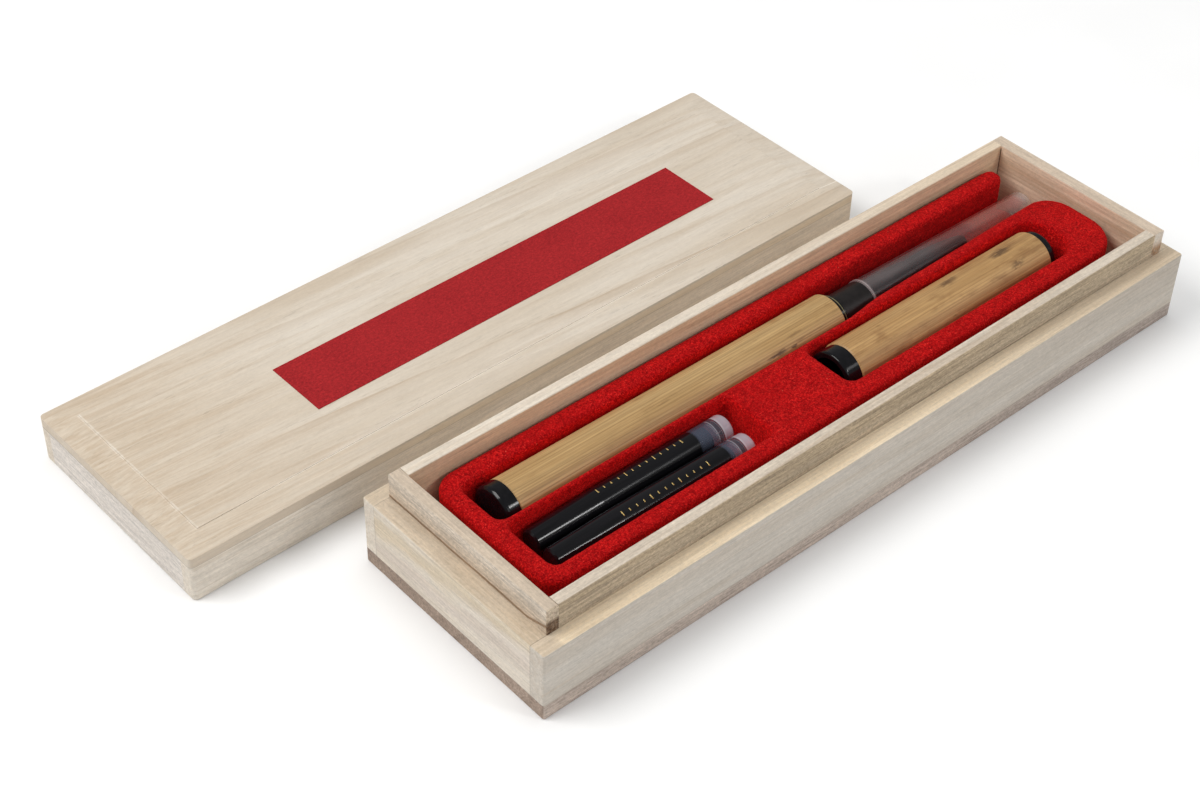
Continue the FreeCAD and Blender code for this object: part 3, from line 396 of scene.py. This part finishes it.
# ---------------------------------------------------------------- bamboo
def bamboo(name, axis_y, axis_z, seed, light, mid, dark, spots=(), crisp=1.0, patchy=0.0):
    """Cane skin: hair-fine ribs along the tube, long soft streaks and a few dark flecks at given places."""
    t = Tree(name)
    p = t.mm()
    x, y, z = t.split(p)
    rnd = random.Random(seed)
    o = [rnd.uniform(-300, 300) for _ in range(3)]
    q = t.vmath("ADD", p, tuple(o))

    def along(sx, sc):
        return t.vmath("MULTIPLY", q, (sx, sc, sc))

    ang = t.math("ARCTAN2", t.math("SUBTRACT", z, axis_z), t.math("SUBTRACT", y, axis_y))
    wob = t.noise(along(0.02, 0.4), 1.0, 2.0)
    rib = t.math("SINE", t.math("ADD", t.math("MULTIPLY", ang, 58.0), t.math("MULTIPLY", wob, 9.0)))
    rib = t.span(rib, -0.2, 1.0)
    ribs = t.noise(along(0.010, 1.7), 1.0, 5.0, 0.72)
    hair = t.noise(along(0.022, 1.4), 1.0, 5.0, 0.85)
    dash = t.noise(along(0.16, 2.0), 1.0, 3.0, 0.65)
    slow = t.noise(along(0.025, 0.22), 1.0, 3.0, 0.55)
    blotch = t.noise(along(0.10, 0.28), 1.0, 4.0, 0.6)
    col = t.mix(t.span(slow, 0.3, 0.7), light, mid)
    col = t.mix(t.span(ribs, 0.42, 0.72, 0.0, 0.55), col, dark)
    col = t.mix(t.span(blotch, 0.58 - 0.1 * patchy, 0.8 - 0.12 * patchy, 0.0, 0.4 + 0.25 * patchy), col, dark)
    shade = t.math("ADD", t.span(hair, 0.28, 0.72, 1.0 - 0.32 * crisp, 1.0 + 0.26 * crisp, smooth=False), t.math("MULTIPLY", rib, -0.15 * crisp))
    shade = t.math("MULTIPLY", shade, t.span(dash, 0.28, 0.72, 0.92, 1.07, smooth=False))
    col = t.mix(1.0, col, t.join(shade, shade, shade), "MULTIPLY")
    fuzz = t.vmath("SUBTRACT", t.noise(t.vmath("MULTIPLY", q, (0.5, 1.3, 1.3)), 1.0, 3.0, 0.65), (0.5, 0.5, 0.5))
    for (sx, sy, sz), (rx, rc), depth, tint in spots:
        d = t.vmath("SUBTRACT", p, (sx, sy, sz))
        d = t.vmath("MULTIPLY", d, (1.0 / rx, 1.0 / rc, 1.0 / rc))
        d = t.vmath("ADD", d, t.vmath("MULTIPLY", fuzz, (2.2, 2.2, 2.2)))
        m = t.span(t.length(d), 0.25, 1.3, depth, 0.0)
        col = t.mix(m, col, tint)
    height = t.math("ADD", t.math("MULTIPLY", rib, -0.6), t.math("MULTIPLY", ribs, 0.5))
    height = t.math("ADD", height, t.math("MULTIPLY", hair, 0.35))
    rough = t.span(ribs, 0.3, 0.7, 0.36, 0.52, smooth=False)
    s = t.shader(Base_Color=col, Roughness=rough, Specular_IOR_Level=0.4, Normal=t.bump(height, 0.4, 0.0001))
    return t.finish(s.outputs[0])


FLECK, FLECK2 = srgb(82, 58, 38), srgb(119, 89, 55)
PEN_SPOTS = [
    ((-1.4, 5.3, 20.1), (3.0, 0.55), 0.9, FLECK),
    ((3.0, 5.1, 19.9), (1.1, 0.5), 0.95, FLECK),
    ((4.5, 6.9, 21.5), (2.6, 0.4), 0.5, FLECK2),
    ((-3.5, 5.3, 20.1), (1.7, 0.35), 0.6, FLECK),
    ((5.3, 5.5, 20.4), (1.5, 0.35), 0.45, FLECK2),
    ((-34.5, 8.2, 22.0), (2.4, 0.3), 0.35, FLECK2),
    ((-15.0, 12.5, 21.8), (3.0, 0.4), 0.35, FLECK2),
]
CAP_SPOTS = [
    ((62.6, -3.6, 22.5), (3.4, 1.4), 0.85, FLECK),
    ((63.6, -8.5, 21.3), (2.0, 0.95), 0.7, FLECK),
    ((44.6, -3.3, 22.4), (3.0, 1.15), 0.75, FLECK),
    ((66.2, -8.0, 21.6), (1.0, 0.5), 0.45, FLECK2),
    ((40.0, -10.4, 19.2), (0.8, 0.3), 0.5, FLECK2),
    ((20.5, -4.0, 22.5), (0.9, 0.4), 0.4, FLECK2),
    ((33.0, -1.2, 21.6), (4.0, 0.5), 0.25, FLECK2),
]


# ---------------------------------------------------------------- other finishes
def flock():
    t = Tree("red_flock_finish")
    p = t.mm()
    n1 = t.noise(p, 1.7, 4.0, 0.75)
    n2 = t.noise(p, 3.1, 3.0, 0.7)
    n3 = t.noise(t.vmath("MULTIPLY", p, (0.05, 0.07, 0.07)), 1.0, 3.0, 0.55)
    lie = t.noise(t.vmath("MULTIPLY", p, (0.35, 0.5, 0.5)), 1.0, 2.0, 0.5)
    col = t.ramp(n1, [(0.32, srgb(118, 3, 8)), (0.5, srgb(171, 11, 16)), (0.68, srgb(219, 30, 29))])
    col = t.mix(t.span(n2, 0.54, 0.70, 0.0, 0.9), col, srgb(240, 58, 50))
    col = t.mix(t.span(n2, 0.46, 0.31, 0.0, 0.8), col, srgb(84, 2, 6))
    col = t.mix(t.span(n3, 0.35, 0.7, 0.0, 0.3), col, srgb(150, 6, 10))
    # a few bright fibres standing up
    v = t.voronoi(p, 0.55)
    dot = t.math("MULTIPLY", t.span(v.outputs["Distance"], 0.04, 0.085, 1.0, 0.0), t.span(t.noise(p, 0.9, 1.0), 0.55, 0.62))
    col = t.mix(t.math("MULTIPLY", dot, 0.6), col, srgb(226, 120, 96))
    shade = t.span(lie, 0.3, 0.7, 0.90, 1.06)
    # painted light: the walls of the hollows are painted a brighter red, standing in for light bounced round inside
    # them; less so on the long one beside the guard, which lies in shade
    x, y, z = t.split(p)
    painted_wall_light = t.span(t.split(t.add("ShaderNodeTexCoord").outputs["Normal"])[2], 0.15, 0.85, 0.5, 0.0)
    inside = t.math("MULTIPLY", t.span(t.math("ABSOLUTE", x), 90.2, 91.2, 1.0, 0.0), t.span(t.math("ABSOLUTE", t.math("SUBTRACT", y, 0.3)), 20.4, 21.2, 1.0, 0.0))
    deep = t.math("MULTIPLY", t.span(y, 13.0, 14.5), t.span(x, 18.0, 32.0))
    painted_wall_light = t.math("MULTIPLY", t.math("MULTIPLY", painted_wall_light, inside), t.math("MULTIPLY_ADD", deep, -0.72, 1.0))
    painted_wall_light = t.math("ADD", painted_wall_light, 1.0)
    col = t.mix(1.0, col, t.join(t.math("MULTIPLY", shade, painted_wall_light), shade, shade), "MULTIPLY")
    h = t.math("ADD", t.math("MULTIPLY", n1, 0.9), t.math("MULTIPLY", n2, 0.7))
    s = t.shader(Base_Color=col, Roughness=0.95, Specular_IOR_Level=0.06, Sheen_Weight=0.25, Sheen_Roughness=0.45,
                 Sheen_Tint=srgb(255, 70, 60), Normal=t.bump(h, 0.8, 0.0004))
    return t.finish(s.outputs[0])


def black_plastic(name="black_plastic_finish", turned=None, plain=False, satin=False, lip_highlight=None):
    t = Tree(name)
    p = t.mm()
    n = t.noise(p, 0.7, 3.0, 0.6)
    sc = t.noise(t.vmath("MULTIPLY", p, (3.0, 0.6, 0.6)), 1.0, 3.0, 0.7)
    dust = t.span(t.voronoi(p, 1.1).outputs["Distance"], 0.03, 0.07, 1.0, 0.0)
    dust = t.math("MULTIPLY", dust, t.span(t.noise(p, 0.5, 1.0), 0.5, 0.62))
    col = t.mix(t.span(n, 0.3, 0.7), srgb(9, 9, 11), srgb(17, 16, 19))
    col = t.mix(t.math("MULTIPLY", dust, 0.35), col, srgb(120, 118, 116))
    rough = t.math("ADD", t.span(sc, 0.3, 0.75, 0.10, 0.20, smooth=False), t.math("MULTIPLY", dust, 0.4))
    h = t.math("MULTIPLY", sc, 0.06)
    if satin:
        rough = t.math("ADD", rough, 0.26)
        col = t.mix(t.span(n, 0.3, 0.7), srgb(22, 19, 18), srgb(31, 27, 26))
    if lip_highlight:
        # painted highlight: thin pale line round the lip
        along = t.split(p)[0]
        line = t.math("MULTIPLY", t.span(along, lip_highlight[0] - 0.06, lip_highlight[0] + 0.06), t.span(along, lip_highlight[1] - 0.06, lip_highlight[1] + 0.06, 1.0, 0.0))
        col = t.mix(t.math("MULTIPLY", line, t.span(n, 0.3, 0.7, 0.3, 0.6)), col, srgb(150, 141, 104))
    if plain:
        s = t.shader(Base_Color=t.mix(t.span(sc, 0.3, 0.7), srgb(12, 12, 14), srgb(24, 23, 25)), Roughness=t.span(n, 0.3, 0.7, 0.5, 0.62), Specular_IOR_Level=0.25)
        return t.finish(s.outputs[0])
    if turned:
        # fine concentric turning lines on an end face
        x, y, z = t.split(p)
        r = t.length(t.join(0.0, t.math("SUBTRACT", y, turned[0]), t.math("SUBTRACT", z, turned[1])))
        h = t.math("ADD", h, t.math("MULTIPLY", t.math("SINE", t.math("MULTIPLY", r, 9.0)), 1.0))
    s = t.shader(Base_Color=col, Roughness=rough, Specular_IOR_Level=0.3, Normal=t.bump(h, 0.4 if turned else 0.12, 0.00006))
    return t.finish(s.outputs[0])


def label_paper():
    t = Tree("label_paper_finish")
    p = t.mm()
    fib = t.noise(t.vmath("MULTIPLY", p, (1.1, 3.4, 1.0)), 1.0, 4.0, 0.7, 0.6)
    fib2 = t.noise(t.vmath("MULTIPLY", p, (3.2, 1.0, 1.0)), 1.0, 3.0, 0.7, 0.8)
    grain = t.noise(p, 4.4, 2.0, 0.65)
    cloud = t.noise(p, 0.09, 2.0, 0.5)
    col = t.mix(t.span(fib, 0.3, 0.7), srgb(140, 22, 28), srgb(166, 34, 37))
    col = t.mix(t.span(fib2, 0.55, 0.8, 0.0, 0.45), col, srgb(184, 54, 52))
    col = t.mix(t.span(grain, 0.44, 0.3, 0.0, 0.6), col, srgb(112, 16, 22))
    col = t.mix(t.span(cloud, 0.3, 0.7, 0.0, 0.18), col, srgb(176, 42, 44))
    shade = t.span(t.noise(p, 1.5, 5.0, 0.85), 0.27, 0.73, 0.60, 1.38, smooth=False)
    col = t.mix(1.0, col, t.join(shade, shade, shade), "MULTIPLY")
    h = t.math("ADD", t.math("MULTIPLY", fib, 0.6), t.math("MULTIPLY", fib2, 0.6))
    s = t.shader(Base_Color=col, Roughness=0.8, Specular_IOR_Level=0.22, Normal=t.bump(h, 0.35, 0.00008))
    return t.finish(s.outputs[0])


def clear_plastic(name, haze, tint, milky=(), filled=None, mirror=1.0, glow=(), zones=(), upper_sheen=None, far=None, lit=None, gloss=0.5, polish=(0.05, 0.11)):
    """Thin clear moulding: mostly see-through, mirror-like at grazing angles, with a little haze of its own.
    milky lists (start, end, extra haze) along X; up to filled along X the moulding is full of ink, which
    the round wall spreads over its whole width."""
    t = Tree(name)
    p = t.mm()
    x, y, z = t.split(p)
    n = t.noise(t.vmath("MULTIPLY", p, (0.12, 0.6, 0.6)), 1.0, 3.0, 0.55)
    amount = t.span(n, 0.3, 0.7, haze * 0.8, haze * 1.2, smooth=False)
    for lo, hi, more in zones:
        amount = t.math("ADD", amount, t.span(x, lo, hi, 0.0, more))
    if upper_sheen:
        # painted sheen: the upper side carries most of the haze, standing in for the band of light it reflects
        amount = t.math("MULTIPLY", amount, t.span(y, upper_sheen[0], upper_sheen[1], upper_sheen[2], 1.0))
    # painted sheen: the haze fades towards the far side
    if far:
        amount = t.math("MULTIPLY", amount, t.span(y, far[0], far[1], 1.0, far[2]))
    for lo, hi, more in milky:
        soft = 0.2
        inside = t.math("MULTIPLY", t.span(x, lo - soft, lo + soft), t.span(x, hi + soft, hi - soft))
        amount = t.math("ADD", amount, t.math("MULTIPLY", inside, more))
    if lit:
        # the side turned up to the light looks whiter
        amount = t.math("MULTIPLY", amount, t.span(z, lit[0], lit[1], lit[2], 1.0))
    face = t.add("ShaderNodeLayerWeight")
    face.inputs[0].default_value = 0.5
    edge = t.math("POWER", face.outputs["Facing"], 5.0)
    fres = t.math("MULTIPLY", t.math("MULTIPLY_ADD", edge, 0.96, 0.04), mirror)
    cover = t.math("ADD", amount, fres, clamp=True)
    metal = t.math("DIVIDE", fres, t.math("MAXIMUM", t.math("ADD", amount, fres), 0.001), clamp=True)
    rough = t.span(n, 0.3, 0.7, polish[0], polish[1], smooth=False)
    col = srgb(*tint)
    # painted light: bands along X tinted with glints and with red light reflected in the moulding; on the cartridges
    # some bands are darker
    for lo, hi, shade in glow:
        col = t.mix(t.span(x, lo, hi), col, srgb(*shade))
    if filled is not None:
        wob = t.math("MULTIPLY_ADD", t.noise(p, 0.25, 2.0), 0.5, -0.25)
        full = t.span(t.math("ADD", x, wob), filled - 0.5, filled + 0.35, 1.0, 0.0)
        cover = t.math("MAXIMUM", cover, full)
        metal = t.math("MULTIPLY", metal, t.math("SUBTRACT", 1.0, full))
        rough = t.math("ADD", rough, t.math("MULTIPLY", full, 0.09))
        smear = t.noise(t.vmath("MULTIPLY", p, (0.05, 1.1, 1.1)), 1.0, 3.0, 0.6)
        col = t.mix(full, col, t.mix(t.span(smear, 0.3, 0.7), srgb(8, 8, 10), srgb(17, 16, 19)))
    s = t.shader(Base_Color=col, Metallic=metal, Roughness=rough, Specular_IOR_Level=gloss)
    clear = t.add("ShaderNodeBsdfTransparent")
    clear.inputs[0].default_value = (0.95, 0.95, 0.955, 1.0)
    m = t.add("ShaderNodeMixShader")
    t.put(m.inputs[0], cover)
    t.put(m.inputs[1], clear.outputs[0])
    t.put(m.inputs[2], s.outputs[0])
    return t.finish(m.outputs[0])


def ink():
    t = Tree("ink_finish")
    p = t.mm()
    n = t.noise(t.vmath("MULTIPLY", p, (0.1, 0.5, 0.5)), 1.0, 2.0)
    col = t.mix(t.span(n, 0.3, 0.7), srgb(10, 10, 13), srgb(20, 19, 24))
    s = t.shader(Base_Color=col, Roughness=t.span(n, 0.3, 0.7, 0.7, 0.9), Specular_IOR_Level=0.05)
    return t.finish(s.outputs[0])


def hair():
    t = Tree("brush_hair_finish")
    p = t.mm()
    n = t.noise(t.vmath("MULTIPLY", p, (0.05, 9.0, 9.0)), 1.0, 2.0)
    x, y, z = t.split(p)
    col = t.mix(t.span(n, 0.3, 0.7), srgb(13, 12, 13), srgb(32, 29, 29))
    col = t.mix(t.span(x, 58.0, 67.0, 0.0, 0.25), col, srgb(44, 39, 37))
    s = t.shader(Base_Color=col, Roughness=0.42, Specular_IOR_Level=0.45)
    return t.finish(s.outputs[0])


def gold():
    t = Tree("gold_print_finish")
    p = t.mm()
    n = t.noise(p, 5.0, 3.0, 0.7)
    col = t.mix(t.span(n, 0.3, 0.7), srgb(190, 158, 92), srgb(222, 196, 128))
    s = t.shader(Base_Color=col, Roughness=t.span(n, 0.3, 0.7, 0.3, 0.5), Metallic=0.7)
    return t.finish(s.outputs[0])


def dress(node, mat):
    me = nodes[node].data
    me.materials.clear()
    me.materials.append(mat)


for node, kw in WOODS.items():
    dress(node, wood(node + "_wood", **kw))
dress("pen_barrel", bamboo("pen_bamboo", 10.15, 16.0, 5, srgb(190, 157, 108), srgb(175, 140, 91), srgb(133, 99, 58), PEN_SPOTS, crisp=0.8, patchy=0.35))
dress("cap_tube", bamboo("cap_bamboo", -4.7, 16.0, 9, srgb(191, 154, 104), srgb(174, 135, 86), srgb(136, 98, 60), CAP_SPOTS, crisp=0.55, patchy=0.8))
BLACK = black_plastic()
dress("pen_tail_plug", black_plastic("tail_plug_finish", turned=(10.15, 16.0)))
dress("pen_section", black_plastic("section_finish", satin=True))
dress("pen_barrel_bush", black_plastic("bush_finish", lip_highlight=(20.45, 20.7)))
for node in ("cap_mouth_ring", "cap_end_plug", "pen_ink_feed", "cartridge_1_seal", "cartridge_2_seal"):
    dress(node, BLACK)
dress("brush_holder", black_plastic("brush_holder_finish", plain=True))
dress("lid_label", label_paper())
dress("clear_brush_guard", clear_plastic("guard_finish", 0.07, (217, 201, 200), ((30.4, 31.1, 0.3), (86.9, 88.6, 0.08)), mirror=0.8,
                                         glow=((50.0, 60.0, (234, 176, 170)), (65.0, 70.0, (238, 164, 150)), (84.5, 87.0, (226, 216, 210))),
                                         zones=((50.0, 58.0, -0.008), (65.5, 69.0, 0.058)), upper_sheen=(7.2, 9.4, 0.12), far=(10.9, 13.4, 0.32), polish=(0.24, 0.32)))
INK = ink()
CARTS = (("1", (-80.2, -1.6), 0.0, 86.0), ("2", (-80.4, -8.45), -0.8, 108.0))
for i, (cx, cy), turn, roll in CARTS:
    full = cx + (46.0 if i == "1" else 48.4)
    dress(f"cartridge_{i}_shell", clear_plastic(f"cartridge_{i}_finish", 0.05, (100, 106, 124), ((full, cx + 51.0, 0.24), (cx + 51.0, cx + 52.5, 0.42), (cx + 52.55, cx + 52.8, 0.4), (cx + 52.8, cx + 56.2, 0.4)), full,
                                                glow=((cx + 50.72, cx + 50.8, (196, 196, 206)), (cx + 50.95, cx + 51.1, (72, 72, 82)), (cx + 52.42, cx + 52.5, (225, 222, 230)), (cx + 52.75, cx + 52.95, (206, 197, 207))), lit=(15.0, 18.4, 0.45), gloss=0.34))
    dress(f"cartridge_{i}_ink", INK)
dress("brush_bristles", hair())


# ---------------------------------------------------------------- brush and print
def piece(name, verts, faces, mat, body, stands_for=None):
    me = bpy.data.meshes.new(name)
    me.from_pydata(verts, [], faces)
    me.validate()
    for f in me.polygons:
        f.use_smooth = True
    me.materials.append(mat)
    ob = bpy.data.objects.new(name, me)
    scene.collection.objects.link(ob)
    if stands_for:
        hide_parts(stands_for)
    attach(ob, body)
    return ob


def make_brush():
    """Bundle of fine tapered hairs round a solid core, from the holder's mouth to the point."""
    rnd = random.Random(77)
    cy, cz = 10.15, 16.0
    root, tip = 44.8, 66.7

    def belly(u):
        # radius of the bundle along its free length
        return 3.05 * (0.75 + 0.25 * math.sin(min(1.0, u / 0.2) * math.pi / 2)) * (1.0 - 0.5 * max(0.0, (u - 0.25) / 0.75) ** 2.2)

    verts, faces = [], []
    rings, sides = 15, 18
    for i in range(rings):
        u = i / (rings - 1) * 0.97
        r = max(belly(u) * 0.86, 0.02)
        for k in range(sides):
            a = 2 * math.pi * k / sides
            verts.append((MM * (root + (tip - root) * u), MM * (cy + r * math.cos(a)), MM * (cz + r * math.sin(a))))
    for i in range(rings - 1):
        for k in range(sides):
            a, b = i * sides + k, i * sides + (k + 1) % sides
            faces.append((a, b, b + sides, a + sides))
    faces.append(tuple(range(sides - 1, -1, -1)))
    faces.append(tuple((rings - 1) * sides + k for k in range(sides)))
    for _ in range(420):
        a0 = rnd.uniform(0, 2 * math.pi)
        share = math.sqrt(rnd.uniform(0.45, 1.0))
        last = 0.88 + 0.12 * rnd.random()
        drift = rnd.uniform(-0.22, 0.22)
        thick = rnd.uniform(0.05, 0.085)
        steps, base = 9, len(verts)
        for i in range(steps):
            u = last * i / (steps - 1)
            r = belly(min(u, 0.995)) * share
            a = a0 + drift * u
            y, z = cy + r * math.cos(a), cz + r * math.sin(a)
            w = thick * (1.0 - 0.8 * (i / (steps - 1)) ** 2)
            for k in range(3):
                b = 2 * math.pi * k / 3 + a
                verts.append((MM * (root + (tip - root) * u), MM * (y + w * math.cos(b)), MM * (z + w * math.sin(b))))
        for i in range(steps - 1):
            for k in range(3):
                p0, p1 = base + i * 3 + k, base + i * 3 + (k + 1) % 3
                faces.append((p0, p1, p1 + 3, p0 + 3))
        faces.append((base + 2, base + 1, base))
        e = base + (steps - 1) * 3
        faces.append((e, e + 1, e + 2))
    piece("brush_hairs", verts, faces, nodes["brush_bristles"].data.materials[0], "section", "brush_bristles")


def make_ticks(i, nose, turn, roll, gilt):
    """Row of plain gilt level marks printed along the upper front of a cartridge, each a thin raised strip."""
    verts, faces = [], []
    mid, c, n0 = math.radians(roll), math.cos(math.radians(turn)), math.sin(math.radians(turn))
    for k in range(13):
        at = 18.4 + 2.0 * k
        half = math.radians(11.0 if k % 4 == 0 else 6.0)
        w, n = 0.13, 6
        base = len(verts)
        for r in (3.452, 3.475):
            for j in range(n):
                a = mid - half + 2 * half * j / (n - 1)
                dy, z = r * math.cos(a), 16.0 + r * math.sin(a)
                for u in (at - w, at + w):
                    verts.append((MM * (nose[0] + u * c - dy * n0), MM * (nose[1] + u * n0 + dy * c), MM * z))
        top = base + 2 * n
        for j in range(n - 1):
            b, u = base + 2 * j, top + 2 * j
            faces += [(b, b + 1, b + 3, b + 2), (u, u + 2, u + 3, u + 1), (b, b + 2, u + 2, u), (b + 1, u + 1, u + 3, b + 3)]
        e, f = base + 2 * (n - 1), top + 2 * (n - 1)
        faces += [(base, top, top + 1, base + 1), (e, e + 1, f + 1, f)]
    return piece(f"cartridge_{i}_level_marks", verts, faces, gilt, f"cartridge_{i}")


make_brush()
GILT = gold()
for i, nose, turn, roll in CARTS:
    make_ticks(i, nose, turn, roll, GILT)


# ---------------------------------------------------------------- flocked tray
def freeze(ob, name):
    """The object's mesh with its modifiers applied, as a new object."""
    dg = bpy.context.evaluated_depsgraph_get()
    me = bpy.data.meshes.new_from_object(ob.evaluated_get(dg))
    me.name = name
    bpy.data.objects.remove(ob)
    new = bpy.data.objects.new(name, me)
    scene.collection.objects.link(new)
    return new


def make_tray():
    me = nodes["tray"].data.copy()
    ob = bpy.data.objects.new("tray_shape", me)
    scene.collection.objects.link(ob)
    m = ob.modifiers.new("skin", "REMESH")
    m.mode = "VOXEL"
    m.voxel_size = 0.0006
    m.use_smooth_shade = True
    s = ob.modifiers.new("soft", "SMOOTH")
    s.factor, s.iterations = 0.5, 7
    ob = freeze(ob, "tray_flock")
    me = ob.data
    n = len(me.vertices)
    co = np.empty(n * 3, np.float32)
    no = np.empty(n * 3, np.float32)
    me.vertices.foreach_get("co", co)
    me.vertices.foreach_get("normal", no)
    co, no = co.reshape(-1, 3), no.reshape(-1, 3)
    lift = np.array([mnoise.noise(Vector(c) * 900.0) * 0.6 + mnoise.noise(Vector(c) * 2300.0) * 0.4 for c in co.astype(float)])
    co += no * (lift[:, None] * 0.00007)
    me.vertices.foreach_set("co", co.ravel())
    for p in me.polygons:
        p.use_smooth = True
    me.update()
    me.materials.clear()
    me.materials.append(flock())
    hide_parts("tray")
    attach(ob, "tray")
    return ob


make_tray()


# ---------------------------------------------------------------- stage, light, camera
def stage():
    bm = bmesh.new()
    bmesh.ops.create_grid(bm, x_segments=1, y_segments=1, size=4.0)
    me = bpy.data.meshes.new("floor")
    bm.to_mesh(me)
    bm.free()
    ob = bpy.data.objects.new("floor", me)
    scene.collection.objects.link(ob)
    t = Tree("floor_paper")
    p = t.mm()
    n = t.noise(p, 0.02, 2.0)
    col = t.mix(t.span(n, 0.3, 0.7), (0.93, 0.93, 0.93, 1), (0.95, 0.95, 0.95, 1))
    s = t.shader(Base_Color=col, Roughness=0.9, Specular_IOR_Level=0.1)
    me.materials.append(t.finish(s.outputs[0]))


def area(name, place, aim, size, power, colour=(1, 1, 1)):
    d = bpy.data.lights.new(name, "AREA")
    d.shape = "RECTANGLE"
    d.size, d.size_y = size
    d.energy = power
    d.color = colour
    ob = bpy.data.objects.new(name, d)
    ob.location = place
    ob.rotation_mode = "QUATERNION"
    ob.rotation_quaternion = (Vector(aim) - Vector(place)).to_track_quat("-Z", "Y")
    scene.collection.objects.link(ob)
    return ob


stage()
AIM = (0.0, 0.03, 0.01)
area("key_softbox", (-0.80, 0.48, 1.05), AIM, (0.8, 0.6), 11.5, (1.0, 0.99, 0.975))
area("top_softbox", (0.25, 0.25, 1.4), AIM, (1.2, 1.0), 7.0, (1.0, 0.985, 0.96)).visible_glossy = False
area("fill_softbox", (-0.45, -1.3, 0.7), AIM, (1.0, 0.8), 3.1, (0.92, 0.96, 1.0))
area("front_strip", (0.40, -0.85, 0.72), AIM, (0.20, 0.13), 2.1)
area("side_strip", (0.72, -0.70, 0.69), AIM, (0.20, 0.16), 0.3)
world = bpy.data.worlds.new("studio")
world.use_nodes = True
bg = world.node_tree.nodes["Background"]
bg.inputs[0].default_value = (0.96, 0.98, 1.0, 1.0)
bg.inputs[1].default_value = 0.30
scene.world = world
scene.view_settings.view_transform = "Standard"
scene.view_settings.look = "None"


def camera():
    focal, yaw, pitch, roll = 2211.78, math.radians(47.937), math.radians(41.466), math.radians(1.384)
    place = Vector((-286.064, -250.147, 340.865)) * MM
    fwd = Vector((math.cos(yaw) * math.cos(pitch), math.sin(yaw) * math.cos(pitch), -math.sin(pitch)))
    right = Vector((math.sin(yaw), -math.cos(yaw), 0.0))
    up = right.cross(fwd)
    r2 = right * math.cos(roll) + up * math.sin(roll)
    u2 = up * math.cos(roll) - right * math.sin(roll)
    d = bpy.data.cameras.new("photo_view")
    d.sensor_fit = "HORIZONTAL"
    d.sensor_width = 36.0
    d.lens = focal / 1200.0 * 36.0
    d.clip_start, d.clip_end = 0.01, 50.0
    ob = bpy.data.objects.new("photo_view", d)
    m = Matrix((r2, u2, -fwd)).transposed().to_4x4()
    m.translation = place
    ob.matrix_world = m
    scene.collection.objects.link(ob)
    scene.camera = ob


camera()

bpy.context.view_layer.update()
